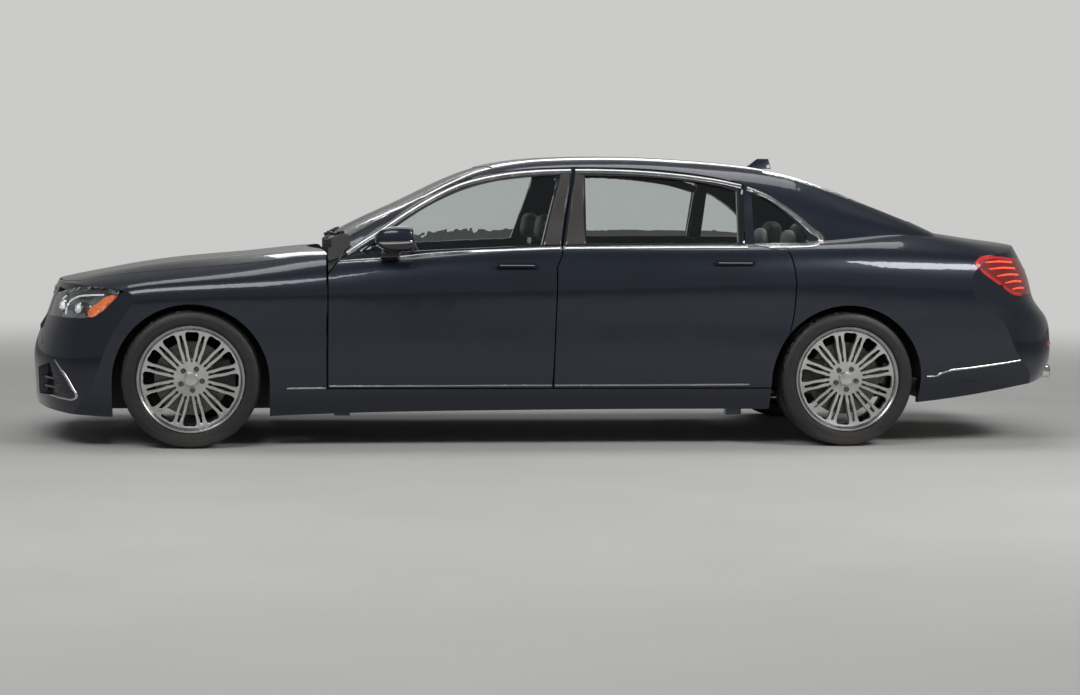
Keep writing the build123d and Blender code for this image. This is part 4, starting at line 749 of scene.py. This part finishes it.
def tyre_body(width):
    """A road tyre: ribbed shoulders, sidewall rings, four grooves round the tread and slits across it."""
    w = width / 2
    side = [(0.0222 - w, 0.2545), (0.0222 - w, 0.2725), (0.01 - w, 0.2745), (0.0045 - w, 0.279), (0.0035 - w, 0.284)]
    side += [(0.001 - w, 0.286), (-w, 0.295), (0.0002 - w, 0.302), (0.0013 - w, 0.303), (0.0014 - w, 0.309)]
    side += [(0.0006 - w, 0.31), (0.0022 - w, 0.32), (0.0048 - w, 0.329), (0.0095 - w, 0.337), (0.0155 - w, 0.343)]
    side += [(0.024 - w, 0.3475)]
    groove_pitch, groove_half, slope, groove_floor = 0.046, 0.0045, 0.0008, 0.343
    tread = []
    for k in range(-1, 1):
        low, high = ((k + 0.5) * groove_pitch + way * groove_half for way in (-1, 1))
        tread += [(low, 0.35), (low + slope, groove_floor), (high - slope, groove_floor), (high, 0.35)]
    outer_groove = 0.062
    low, high = (-outer_groove + way * groove_half for way in (-1, 1))
    left = [(low, 0.3494), (low + slope, groove_floor), (high - slope, groove_floor), (high, 0.3496)]
    right = [(-y, r) for y, r in left[::-1]]
    far = [(-y, r) for y, r in side[::-1]]
    blocks_round = 120
    step = 2 * pi / blocks_round

    def slit(face):
        spot, out = face.center, face.normal
        radius = (spot.x**2 + spot.z**2) ** 0.5
        outward = (out.x * spot.x + out.z * spot.z) / radius
        around = int((Vector((1, 0)).angle_signed(Vector((spot.x, spot.z))) + pi) / step + 0.5)
        shoulder = 0.3385 < radius < 0.3488 and abs(spot.y) > outer_groove + 0.006
        top = radius > 0.347 and abs(spot.y) > 0.03
        return outward > 0.45 and around % 2 == 0 and (shoulder or top)

    piece = turned(side + left + tread + right + far, blocks_round)
    pick_faces(piece, slit)
    bpy.ops.mesh.inset(thickness=0.0036, depth=-0.0035)
    done()
    return piece


WHEELS = (
    ("front_left", 0.245, front_x, -front_track, radians(13.5), radians(-5)),
    ("rear_left", 0.265, rear_x, -rear_track, radians(10.8), radians(185)),
)
for name, width, x, y, start, caliper_angle in WHEELS:
    face = wheel_face(width, -start)
    barrel = wheel_barrel(width)
    cap, bolts = wheel_cap(width, -start + radians(24))
    disc, hole_shade, caliper = brake_parts(width, caliper_angle)
    tyre = tyre_body(width)
    put = Matrix.Translation((x, y, axle_z))
    for piece in (face, barrel, cap, bolts, disc, hole_shade, caliper, tyre):
        piece.data.transform(put)
    wheel = "wheel_" + name
    carrier = "knuckle_front_left" if name == "front_left" else "body"
    made = [
        settle(face, "wheel_face_" + name, alloy, wheel, 30),
        settle(barrel, "wheel_barrel_" + name, satin_chrome, wheel, 30),
        settle(cap, "wheel_cap_" + name, alloy, wheel, 30),
        settle(bolts, "wheel_bolts_" + name, disc_iron, wheel, 30),
        settle(disc, "brake_disc_" + name, disc_iron, wheel, 30),
        # The dark drums are painted shade for the disc's drilled holes.
        settle(hole_shade, "brake_disc_holes_" + name, lamp_dark, wheel, 30),
        settle(caliper, "brake_caliper_" + name, cast_iron, carrier, 30),
        settle(tyre, "road_tyre_" + name, tyre_rubber, wheel, 38),
    ]
    stands_for = {0: "rim_" + name, len(made) - 1: "tyre_" + name}
    for i, node_name in stands_for.items():
        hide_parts(node_name)
    for i, piece in enumerate(made):
        other = both(piece)
        if i in stands_for:
            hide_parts(stands_for[i].replace("left", "right"))

# ---------------------------------------------------------------- trim of the sides
# Lengths run from the front axle or the rear one, and are moved to the car's frame by `at` and `from_rear`.


def at(points, start=front_x):
    return [(start + point[0], *point[1:]) for point in points]


def from_rear(points):
    return at(points, rear_x)


def left_side(make, *rows, **shape):
    """Several strips or panels of the left side; a row has a name, a line and what else the maker is told."""
    return [make(name + "_left", at(line), *told, **shape) for name, line, *told in rows]


on_front_door = skin_of("door_front_left", "glass_front_left"), "door_front_left"
on_rear_door = skin_of("door_rear_left", "glass_rear_left"), "door_rear_left"
on_flank = skin_of("body_side_left", "rear_windows"), "body"
on_fender = skin_of("fender_left"), "body"

split_end, split_start = 1.945, 1.968
front_belt = [
    (0.742, 0.9455), (0.8, 0.949), (1.05, 0.967), (1.202, 0.983), (1.457, 1.0), (1.712, 1.0115), (1.868, 1.0175),
]
rear_belt = [(1.893, 1.018), (2.279, 1.023), (2.62, 1.0275), (2.842, 1.029)]
quarter_belt = [(2.862, 1.03), (3.01, 1.0315), (3.114, 1.033), (3.19, 1.04), (3.222, 1.052)]
front_arc = [
    (0.784, 0.983), (0.853, 1.033), (0.956, 1.097), (1.058, 1.167), (1.161, 1.232), (1.263, 1.287), (1.366, 1.334),
]
front_arc += [(1.469, 1.363), (1.573, 1.384), (1.676, 1.398), (1.806, 1.409), (split_end, 1.4135)]
rear_arc = [
    (split_start, 1.4135), (2.093, 1.414), (2.302, 1.408), (2.512, 1.392), (2.618, 1.38), (2.724, 1.365),
    (2.842, 1.34),
]
quarter_arc = [
    (2.872, 1.331), (2.936, 1.307), (2.99, 1.282), (3.044, 1.247), (3.097, 1.209), (3.151, 1.163), (3.206, 1.111),
]
quarter_arc += [(3.246, 1.072), (3.222, 1.052)]

trims = left_side(
    strip,
    ("belt_trim_front", front_belt, 0.015, 0.0042, on_front_door, satin_chrome),
    ("belt_trim_rear", rear_belt, 0.015, 0.0042, on_rear_door, satin_chrome),
    ("belt_trim_quarter", quarter_belt, 0.016, 0.0042, on_flank, satin_chrome),
    ("window_trim_front", front_arc, 0.024, 0.005, on_front_door, satin_chrome),
    ("window_trim_rear", rear_arc, 0.024, 0.005, on_rear_door, satin_chrome),
)
trims += left_side(
    strip,
    ("window_trim_quarter", quarter_arc, 0.024, 0.005, on_flank, satin_chrome),
    radii=[1, 1, 1.05, 1.1, 1.2, 1.35, 1.5, 1.4, 0.7],
)
front_sill = [(0.694, 0.315), (1.303, 0.317), (1.826, 0.3185)]
rear_sill = [(1.842, 0.3185), (2.2, 0.319), (2.589, 0.32), (2.85, 0.3215)]
front_handle = [(1.552, 0.932), (1.64, 0.932), (1.728, 0.932)]
rear_handle = [(2.675, 0.95), (2.763, 0.95), (2.851, 0.95)]
trims += left_side(
    strip,
    ("sill_trim_fender", [(0.48, 0.303), (0.6, 0.304), (0.678, 0.305)], 0.009, 0.0035, on_fender, satin_chrome),
    ("sill_trim_front", front_sill, 0.01, 0.004, on_front_door, satin_chrome),
    ("sill_trim_rear", rear_sill, 0.01, 0.004, on_rear_door, satin_chrome),
    ("handle_trim_front", front_handle, 0.005, 0.0012, on_front_door, chrome),
    ("handle_trim_rear", rear_handle, 0.005, 0.0012, on_rear_door, chrome),
)
front_pillar = [(1.786, 1.036), (1.872, 1.036), (1.94, 1.3985), (1.8905, 1.396)]
rear_pillar = [(1.899, 1.036), (2.0, 1.04), (2.0105, 1.393), (1.967, 1.399)]
divider = [(2.812, 1.048), (2.834, 1.048), (2.856, 1.322), (2.825, 1.328)]
trims += left_side(
    panel,
    ("pillar_cover_front", front_pillar, on_front_door, pillar_gloss, 0.0012, 0.0022),
    ("pillar_cover_rear", rear_pillar, on_rear_door, pillar_gloss, 0.0012, 0.0022),
    ("divider_cover", divider, on_rear_door, gloss_black, 0.0012, 0.0022),
    smooth=False,
)
# Rubber seals in the window openings, between glass and chrome.
front_seal = [(0.862, 0.998), (1.058, 1.144), (1.263, 1.266), (1.469, 1.3435), (1.676, 1.3795), (1.88, 1.3945)]
rear_seal = [
    (2.014, 1.3925, 1), (2.302, 1.3885), (2.512, 1.3765), (2.618, 1.364), (2.724, 1.343), (2.819, 1.317, 1),
    (2.804, 1.047, 1), (2.004, 1.039, 1),
]
trims += left_side(strip, ("window_seal_front", front_seal, 0.011, 0.003, on_front_door, rubber_seal))
trims += left_side(strip, ("window_seal_rear", rear_seal, 0.01, 0.003, on_rear_door, rubber_seal), closed=True)
# The strip low on the rear bumper.
on_rear_bumper = skin_of("rear_bumper"), "body"
on_front_bumper = skin_of("front_bumper"), "body"
bumper_line = [(3.792, 0.36), (3.845, 0.365), (3.883, 0.384), (4.02, 0.404), (4.177, 0.424), (4.3, 0.442)]
trims += left_side(
    strip,
    ("bumper_trim_rear", bumper_line, 0.011, 0.0045, on_rear_bumper, chrome),
    radii=[0.5, 0.9, 1.3, 1, 1, 0.8],
)
both_sides(trims)

# ---------------------------------------------------------------- mirrors
fresh()
bpy.ops.mesh.primitive_cube_add(size=1, location=(0, 0, 0))
shell = bpy.context.object
edit()
take()
bpy.ops.mesh.subdivide(number_cuts=7)
done()
head_middle = Vector((front_x + 1.03, -0.984, 1.061))
head_half = Vector((0.112, 0.076, 0.064))
roundness, back_face = 3.2, 0.62
for vertex in shell.data.vertices:
    u = vertex.co * 2
    u /= sum(abs(part) ** roundness for part in u) ** (1 / roundness)
    nose = max(0.0, -u.x)
    u.z *= 1 - 0.3 * nose**2
    u.y = u.y * (1 - 0.1 * nose) + 0.16 * nose**2
    u.z -= 0.1 * u.y
    if u.x > back_face:
        u.x = back_face + (u.x - back_face) * 0.35
    vertex.co = Vector((head_middle[i] + u[i] * head_half[i] for i in range(3)))
modify(shell, "SUBSURF", levels=2, render_levels=2)
housing = settle(shell, "mirror_housing_left", paint, "door_front_left", 60)
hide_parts("mirror_left")
mirror_skin = BVHTree.FromPolygons(
    [v.co for v in housing.data.vertices], [list(f.vertices) for f in housing.data.polygons]
)
on_mirror = mirror_skin, "door_front_left"
glass_outline = [
    (-1.044, 1.03), (-1.046, 1.075), (-1.03, 1.108), (-0.96, 1.112), (-0.926, 1.09), (-0.924, 1.03), (-0.95, 1.012),
    (-1.02, 1.012),
]
mirror_glass = panel("mirror_glass_left", glass_outline, on_mirror, chrome, 0.0006, 0.002, 0.02, axis=0, sign=1)
mirror_band = strip(
    "mirror_band_left", [
        (front_x + 0.935, 1.043), (front_x + 1.0, 1.044), (front_x + 1.07, 1.048), (front_x + 1.105, 1.052),
    ],
    0.012, 0.0016, on_mirror, chrome,
)
lower = again(housing, "mirror_base_left", "door_front_left", Matrix.Identity(4))
choose(lower)
edit()
take()
bpy.ops.mesh.bisect(plane_co=(0, 0, 1.034), plane_no=(0, 0, 1), clear_outer=True)
take()
bpy.ops.transform.shrink_fatten(value=0.0012)
done()
modify(lower, "SOLIDIFY", thickness=0.0015, offset=-1)
settle(lower, "mirror_base_left", gloss_black, "door_front_left", 50)
foot = block((front_x + 0.952, -0.945, 0.966), (front_x + 1.052, -0.845, 1.016), (0.8, 0.9), 0.012, 3)
lean(foot, 0.3, 0.99)
foot = settle(foot, "mirror_foot_left", gloss_black, "door_front_left", 50)
for piece in (housing, mirror_glass, mirror_band, lower, foot):
    other = both(piece)
    if piece is housing:
        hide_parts("mirror_right")

# ---------------------------------------------------------------- headlamps


def lamp_shell(node_name, name, keep):
    """The outer faces of one lamp, copied from its CAD node."""
    piece = nodes[node_name].copy()
    piece.data = nodes[node_name].data.copy()
    bpy.context.collection.objects.link(piece)
    piece.parent = None
    piece.hide_render = piece.hide_viewport = False
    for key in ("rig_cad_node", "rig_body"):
        if key in piece:
            del piece[key]
    choose(piece)
    edit()
    weld(0.00005)
    done()
    pick_faces(piece, lambda face: not keep(face.center, face.normal))
    bpy.ops.mesh.delete(type="FACE")
    done()
    piece.name = name
    return piece


def walls(piece, thickness):
    """A cup behind a lamp's outer faces: its back and its rim, open towards the lens."""
    count = len(piece.data.polygons)
    modify(piece, "SOLIDIFY", thickness=thickness, offset=-1, use_even_offset=False)
    pick_faces(piece, lambda face: face.index < count)
    bpy.ops.mesh.delete(type="FACE")
    done()


def front_faces(spot, out):
    return spot.y < -0.505 and out.y < -0.03 and out.x < 0.25 and abs(out.z) < 0.93


lens = lamp_shell("headlamps", "headlamp_lens_left", front_faces)
cup = again(lens, "headlamp_cup_left", "body", Matrix.Identity(4))
walls(cup, 0.045)
modify(lens, "SOLIDIFY", thickness=0.003, offset=-1, use_even_offset=False)
lens = settle(lens, "headlamp_lens_left", lens_clear)
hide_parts("headlamps")
settle(cup, "headlamp_cup_left", lamp_housing, flip=True)
on_headlamp = skin_of("headlamps"), "body"
amber_line = [(-0.512, 0.668), (-0.492, 0.66), (-0.452, 0.685), (-0.402, 0.72), (-0.36, 0.757), (-0.374, 0.77)]
amber_line += [(-0.402, 0.769), (-0.452, 0.74)]
brow = [
    (-0.64, 0.768), (-0.56, 0.792), (-0.45, 0.793), (-0.352, 0.786), (-0.42, 0.778), (-0.52, 0.776), (-0.6, 0.758),
]
outer_daylight = [(-0.632, 0.668), (-0.622, 0.715), (-0.58, 0.752), (-0.5, 0.768), (-0.43, 0.772)]
inner_daylight = [(-0.665, 0.69), (-0.655, 0.735), (-0.63, 0.762)]
lamp_bits = [lens, cup] + left_side(
    panel,
    ("side_marker", amber_line, on_headlamp, amber, -0.005, 0.006, 0.02),
    ("headlamp_brow", brow, on_headlamp, lamp_dark, -0.006, 0.006, 0.02),
)
lamp_bits += left_side(
    strip,
    ("daylight_outer", outer_daylight, 0.009, 0.003, on_headlamp, white_lamp),
    ("daylight_inner", inner_daylight, 0.008, 0.003, on_headlamp, white_lamp),
    lift=-0.008,
)


def projector(x, y, z, r):
    """A lens in its ring, facing forwards; the profile turns round Y and is then pointed forwards."""
    ring = [(0.03, r * 0.9), (0.0, r), (-0.012, r * 1.02), (-0.016, r * 0.95), (-0.012, r * 0.86), (0.006, r * 0.8)]
    bezel = turned(ring, 48)
    ball = turned([(0.004, r * 0.8), (-0.01, r * 0.7), (-0.018, r * 0.45), (-0.021, r * 0.2), (-0.022, 0.0)], 48)
    point = Matrix.Translation((x, y, z)) @ Matrix.Rotation(radians(-52), 4, "Z")
    bezel.data.transform(point)
    ball.data.transform(point)
    return bezel, ball


for i, (x, y, z, r) in enumerate([(-0.553, -0.782, 0.702, 0.03), (-0.64, -0.69, 0.712, 0.028)]):
    bezel, ball = projector(front_x + x, y, z, r)
    lamp_bits.append(settle(bezel, f"projector_ring_{i}_left", chrome))
    lamp_bits.append(settle(ball, f"projector_lens_{i}_left", white_lamp))
both_sides(lamp_bits)

# ---------------------------------------------------------------- tail lamps
on_tail_lamp = skin_of("tail_lamps"), "body"
rim_line = [
    (4.28, 0.97), (4.2, 0.981), (4.1, 0.98), (4.062, 0.966), (4.045, 0.943), (4.085, 0.905), (4.15, 0.862),
    (4.21, 0.824), (4.262, 0.797), (4.33, 0.783),
]
tail_bits = left_side(strip, ("tail_lamp_rim", rim_line, 0.02, 0.002, on_tail_lamp, red_lamp))
rows = [
    [(4.095, 0.956), (4.18, 0.96), (4.275, 0.954)],
    [(4.118, 0.921), (4.2, 0.927), (4.292, 0.922)],
    [(4.165, 0.884), (4.24, 0.892), (4.312, 0.888)],
    [(4.215, 0.848), (4.28, 0.856), (4.332, 0.853)],
    [(4.262, 0.815), (4.31, 0.82), (4.35, 0.818)],
]
bars = [(f"tail_lamp_bar_{i}", row, 0.011, 0.0016, on_tail_lamp, red_bright) for i, row in enumerate(rows)]
tail_bits += left_side(strip, *bars, radii=[0.6, 1, 1])
both_sides(tail_bits)

# ---------------------------------------------------------------- front: intake trims and sensors
on_windscreen = skin_of("windscreen"), "body"
blade = [
    (-0.69, 0.44), (-0.676, 0.423), (-0.655, 0.395), (-0.625, 0.355), (-0.592, 0.3), (-0.572, 0.262), (-0.585, 0.247),
    (-0.64, 0.246), (-0.72, 0.256),
]
blade_widths = [0.4, 0.8, 1, 1.1, 1.2, 1.2, 1, 0.9, 0.6]
front_bits = left_side(
    strip, ("intake_trim", blade, 0.013, 0.006, on_front_bumper, chrome), radii=blade_widths
)
for i, z in enumerate((0.278, 0.318, 0.362)):
    louvre = [(-0.745, z), (-0.69, z - 0.003), (-0.64 + 0.02 * (1 - i), z - 0.004)]
    front_bits += left_side(strip, (f"intake_louvre_{i}", louvre, 0.008, 0.004, on_front_bumper, gloss_black))


def button(name, where, place, axis, sign):
    """A round painted sensor laid on the skin."""
    radius = 0.011
    ring = [(place[0] + radius * cos(a), place[1] + radius * sin(a)) for a in (i * pi / 6 for i in range(12))]
    return panel(name, ring, where, paint, 0.0012, 0.003, radius, axis, sign, edge=0.0005)


front_bits.append(button("sensor_front_side_left", on_front_bumper, (front_x - 0.5, 0.505), 1, -1))
front_bits.append(button("sensor_front_left", on_front_bumper, (-0.56, 0.52), 0, -1))
both_sides(front_bits)
strip(
    "grille_crown", [(-0.42, 0.789), (-0.25, 0.7915), (0.0, 0.7925), (0.25, 0.7915), (0.42, 0.789)], 0.016, 0.006,
    on_front_bumper, chrome, axis=0, sign=-1,
)

# ---------------------------------------------------------------- rear: strip, plate, reflectors
on_lid = skin_of("trunk_lid"), "trunk_lid"
strip(
    "trunk_strip", [(-0.5, 0.905), (-0.3, 0.912), (0.0, 0.914), (0.3, 0.912), (0.5, 0.905)], 0.02, 0.006, on_lid,
    chrome, axis=0, sign=1,
)
panel(
    "plate_rear", [(-0.155, 0.775), (0.155, 0.775), (0.155, 0.885), (-0.155, 0.885)], on_lid, plate_blank, 0.004,
    0.005, 0.05, 0, 1, smooth=False,
)
strip(
    "bumper_trim_rear", [(-0.64, 0.456), (-0.4, 0.46), (0.0, 0.462), (0.4, 0.46), (0.64, 0.456)], 0.014, 0.005,
    on_rear_bumper, chrome, axis=0, sign=1, lift=-0.0045,
)
# The reflector takes the red lamp finish, whose faint glow is painted light, since a reflector is no lamp.
rear_bits = [
    strip(
        "reflector_rear_left", [(-0.7, 0.52), (-0.62, 0.516), (-0.54, 0.515)], 0.022, 0.003, on_rear_bumper, red_lamp,
        axis=0, sign=1,
    ),
    button("sensor_rear_left", on_rear_bumper, (-0.45, 0.56), 0, 1),
]


def exhaust_tip(y_near, y_far, low, high):
    """A chrome surround with rounded corners, hollow at its end."""
    tip = block((rear_x + 1.07, y_near, low), (rear_x + 1.172, y_far, high), (1, 1), 0.016, 4)
    pick_faces(tip, lambda face: face.normal.x > 0.9)
    bpy.ops.mesh.inset(thickness=0.005, depth=0)
    bpy.ops.mesh.extrude_region_move(TRANSFORM_OT_translate={"value": (-0.06, 0, 0)})
    done()
    return tip


tip = settle(exhaust_tip(-0.655, -0.48, 0.335, 0.405), "exhaust_tip_left", chrome)
# A dark block at the bottom of the hollow tip is painted shade for the open pipe.
mouth_shade = settle(
    block((rear_x + 1.08, -0.648, 0.342), (rear_x + 1.116, -0.487, 0.398), (1, 1), 0.01, 3), "exhaust_mouth_left",
    lamp_dark,
)
step_cover = [(3.93, 0.326), (4.19, 0.326), (4.19, 0.356), (3.93, 0.356)]
rear_bits += left_side(
    panel,
    ("bumper_step_cover", step_cover, on_rear_bumper, paint, -0.0012, 0.004, 0.4),
    smooth=False,
    edge=0,
)
both_sides(rear_bits + [tip, mouth_shade])

# ---------------------------------------------------------------- roof, cowl and wipers
fin = block((front_x + 2.985, -0.022, 1.44), (front_x + 3.135, 0.022, 1.496), (0.42, 0.22), 0.007, 4)
lean(fin, 0.55, 1.44)
settle(fin, "antenna_fin", paint, angle=50)

tray = [
    (front_x + 0.585, -0.74), (front_x + 0.655, -0.765), (front_x + 0.702, -0.74), (front_x + 0.692, -0.48),
    (front_x + 0.676, -0.3), (front_x + 0.667, 0.0),
]
tray += [(x, -y) for x, y in tray[4::-1]] + [(front_x + 0.57, 0.4), (front_x + 0.56, 0.0), (front_x + 0.57, -0.4)]
on_cowl = skin_of("front_structure"), "body"
panel("cowl_cover", tray, on_cowl, black_plastic, 0.0, 0.004, 0.04, 2, 1, smooth=False)
vents, slats = [], 22
for i in range(slats):
    y = -0.6 + i * 1.2 / (slats - 1)
    vents.append(block((front_x + 0.59, y - 0.004, 0.966), (front_x + 0.655, y + 0.004, 0.974), (1, 0.6), 0.0015, 2))
settle(joined(vents), "cowl_slats", black_plastic)


def wiper(name, pivot, elbow, tip, blade_from, blade_to):
    """One arm from its pivot and the blade it carries, parked at the foot of the glass."""
    strip(
        name + "_arm", [pivot, elbow, tip], 0.012, 0.007, on_windscreen, black_plastic, axis=2, sign=1, lift=0.014,
        radii=[1.3, 1, 0.7],
    )
    middle_of = [(a + b) / 2 for a, b in zip(blade_from, blade_to)]
    strip(
        name + "_blade", [blade_from, [middle_of[0] - 0.006, middle_of[1]], blade_to], 0.008, 0.009, on_windscreen,
        rubber_seal, axis=2, sign=1, lift=0.004,
    )
    cap = turned([(0.0, 0.02), (-0.014, 0.019), (-0.022, 0.014), (-0.024, 0.0)], 24)
    cap.data.transform(Matrix.Translation((pivot[0], pivot[1], 0.975)) @ Matrix.Rotation(radians(90), 4, "X"))
    settle(cap, name + "_pivot", black_plastic)


wiper(
    "wiper_left", (front_x + 0.69, -0.64), (front_x + 0.74, -0.48), (front_x + 0.745, -0.33), (front_x + 0.77, -0.64),
    (front_x + 0.722, -0.06),
)
wiper(
    "wiper_right", (front_x + 0.69, 0.06), (front_x + 0.735, 0.2), (front_x + 0.755, 0.34), (front_x + 0.722, 0.06),
    (front_x + 0.775, 0.62),
)

# ---------------------------------------------------------------- engine cover
cover = block((front_x - 0.35, -0.215, 0.0), (front_x + 0.23, 0.215, 0.04), (0.93, 0.9), 0.012, 3)
engine_top_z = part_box("engine_block")[1][2]
parts = [cover]
for i in range(6):
    y = -0.15 + 0.06 * i
    parts.append(block((front_x - 0.29, y - 0.012, 0.036), (front_x + 0.17, y + 0.012, 0.048), (0.96, 0.7), 0.004, 2))
cover = joined(parts)
cover.data.transform(Matrix.Translation((0, 0, engine_top_z - 0.004)))
settle(cover, "engine_cover", black_plastic)

# ---------------------------------------------------------------- grille
grille_mesh = nodes["grille"].data
grille_mesh.materials.append(satin_chrome)
plate_front, bend_z, plate_lean, plate_rise, bar_depth = -0.775, 0.6, 0.113, 0.18, 0.02
for face in grille_mesh.polygons:
    spot = face.center
    plate_x = plate_front + plate_lean * max(spot.z - bend_z, 0) / plate_rise
    face.material_index = 1 if spot.x < front_x + plate_x - bar_depth else 0

# ---------------------------------------------------------------- seats


def pad(
    name, spine, centre_y, half_wide, thick, material=hide, seams=(), cells=20, hardness=4.0, narrow=0.0
):
    """A stuffed pad along a line in the side view: crowned, with seams sunk into its upper side."""
    fresh()
    bpy.ops.mesh.primitive_cube_add(size=2, location=(0, 0, 0))
    piece = bpy.context.object
    edit()
    take()
    bpy.ops.mesh.subdivide(number_cuts=cells - 1)
    done()
    line = [Vector((x, 0, z)) for x, z in spine]
    spans = [(b - a).length for a, b in zip(line, line[1:])]
    total = sum(spans)

    def along(s):
        s = min(max(s, 0.0), 1.0) * total
        for i, span in enumerate(spans):
            if s <= span or i == len(spans) - 1:
                return line[i].lerp(line[i + 1], s / span)
            s -= span

    for vertex in piece.data.vertices:
        u, v, w = vertex.co
        n = (abs(u) ** hardness + abs(v) ** hardness + abs(w) ** 2.6) ** (1 / hardness)
        u, v, w = (part / max(n, 0.001) for part in (u, v, w))
        s = (v + 1) / 2
        spot = along(s)
        ahead = (along(s + 0.02) - along(s - 0.02)).normalized()
        up = Vector((-ahead.z, 0, ahead.x))
        crown = 1 + 0.18 * (1 - u * u) * (1 - v * v)
        sink = 0.0
        if w > 0.2:
            for seam in seams:
                sink += seam_depth * exp(-(((u - seam) / seam_half) ** 2))
        height = w * thick / 2 * crown - sink
        vertex.co = spot + up * height
        vertex.co.y = centre_y + u * half_wide * (1 - narrow * s)
    modify(piece, "SUBSURF", levels=1, render_levels=1)
    piece = settle(piece, name, material, angle=60)
    return piece


seam_depth, seam_half = 0.01, 0.055
flutes = (-0.62, -0.31, 0.0, 0.31, 0.62)
floor_top = 0.292
for side, outward in (("left", -1), ("right", 1)):
    y = outward * 0.37
    cushion = pad(
        f"seat_cushion_{side}", at([(1.3, 0.545), (1.48, 0.52), (1.73, 0.49)]), y, 0.168, 0.12, seams=flutes,
    )
    pad(
        f"seat_back_{side}", at([(1.742, 0.52), (1.77, 0.62), (1.805, 0.78), (1.848, 0.968)]), y, 0.16, 0.092,
        seams=flutes, narrow=0.1,
    )
    for k, sign in (("inner", 1), ("outer", -1)):
        pad(
            f"seat_bolster_{k}_{side}", at([(1.305, 0.545), (1.5, 0.535), (1.74, 0.51)]), y + sign * 0.205, 0.043,
            0.15, cells=10, hardness=3,
        )
        pad(
            f"seat_wing_{k}_{side}", at([(1.728, 0.52), (1.752, 0.64), (1.785, 0.79), (1.838, 0.965)]),
            y + sign * 0.196, 0.046, 0.122, cells=10, hardness=3, narrow=0.06,
        )
    pad(
        f"seat_head_{side}", at([(1.826, 1.045), (1.838, 1.11), (1.85, 1.185)]), y, 0.136, 0.082, cells=12,
        hardness=3.2,
    )
    for k in (-1, 1):
        post = block(
            (front_x + 1.834, y + k * 0.055 - 0.006, 0.945), (front_x + 1.846, y + k * 0.055 + 0.006, 1.065), (1, 1),
            0.005, 3,
        )
        settle(post, f"seat_post_{'a' if k < 0 else 'b'}_{side}", chrome)
    shell = block((front_x + 1.84, y - 0.185, 0.47), (front_x + 1.875, y + 0.185, 0.9), (1, 0.85), 0.014, 3)
    lean(shell, 0.2, 0.64)
    settle(shell, f"seat_shell_{side}", cabin_trim)
    base = block((front_x + 1.33, y - 0.225, floor_top), (front_x + 1.79, y + 0.225, 0.475), (1.0, 0.96), 0.022, 3)
    settle(base, f"seat_base_{side}", cabin_trim)
    if side == "left":
        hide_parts("front_seats")

for side, outward in (("left", -1), ("right", 1)):
    y = outward * 0.318
    outer_y = y + outward * 0.052
    cushion = pad(
        f"rear_cushion_{side}", from_rear([(-0.775, 0.56), (-0.6, 0.548), (-0.33, 0.52)]), y, 0.205, 0.14,
        seams=flutes,
    )
    pad(
        f"rear_back_{side}", from_rear([(-0.318, 0.57), (-0.255, 0.74), (-0.178, 0.935)]), y, 0.205, 0.11,
        seams=flutes,
    )
    pad(
        f"rear_head_{side}", from_rear([(-0.135, 0.968), (-0.14, 1.06), (-0.14, 1.15)]), outer_y, 0.136, 0.085,
        cells=12, hardness=3.2,
    )
    pad(
        f"rear_pillow_{side}", from_rear([(-0.196, 0.985), (-0.205, 1.045), (-0.2, 1.11)]), outer_y, 0.12, 0.06,
        pale_hide, cells=12, hardness=2.6,
    )
    pad(
        f"rear_side_{side}", from_rear([(-0.755, 0.52), (-0.6, 0.51), (-0.455, 0.5)]), y + outward * 0.28, 0.075, 0.1,
        cells=10, hardness=3,
    )
    if side == "left":
        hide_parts("rear_seats")
pad("rear_cushion_middle", from_rear([(-0.765, 0.555), (-0.6, 0.545), (-0.33, 0.515)]), 0, 0.108, 0.13, cells=14)
pad("rear_back_middle", from_rear([(-0.32, 0.57), (-0.258, 0.74), (-0.182, 0.93)]), 0, 0.108, 0.1, cells=14)
bench = block((rear_x - 0.745, -0.53, floor_top), (rear_x - 0.36, 0.53, 0.5), (1, 1), 0.02, 3)
settle(bench, "rear_bench_base", cabin_trim)
bench_back = block((rear_x - 0.285, -0.52, 0.5), (rear_x - 0.2, 0.52, 0.915), (1, 1), 0.02, 3)
lean(bench_back, 0.34, 0.7)
settle(bench_back, "rear_bench_back", cabin_trim)

# ---------------------------------------------------------------- dashboard
screens = block((front_x + 1.042, -0.64, 0.868), (front_x + 1.064, 0.05, 0.978), (1, 0.98), 0.006, 3)
settle(screens, "screen_housing", gloss_black)
for i, (a, b) in enumerate(((-0.625, -0.335), (-0.255, 0.035))):
    face = block((front_x + 1.0635, a, 0.88), (front_x + 1.066, b, 0.966), (1, 1), 0.0008, 2)
    settle(face, f"screen_{i}", lamp_dark)
for i, y in enumerate((-0.15, -0.05, 0.05, 0.15)):
    ring = turned([(0.0, 0.034), (-0.01, 0.034), (-0.012, 0.031), (-0.01, 0.027), (0.004, 0.026), (0.006, 0.0)], 32)
    ring.data.transform(Matrix.Translation((front_x + 1.08, y, 0.815)) @ Matrix.Rotation(radians(90), 4, "Z"))
    settle(ring, f"vent_{i}", satin_chrome)
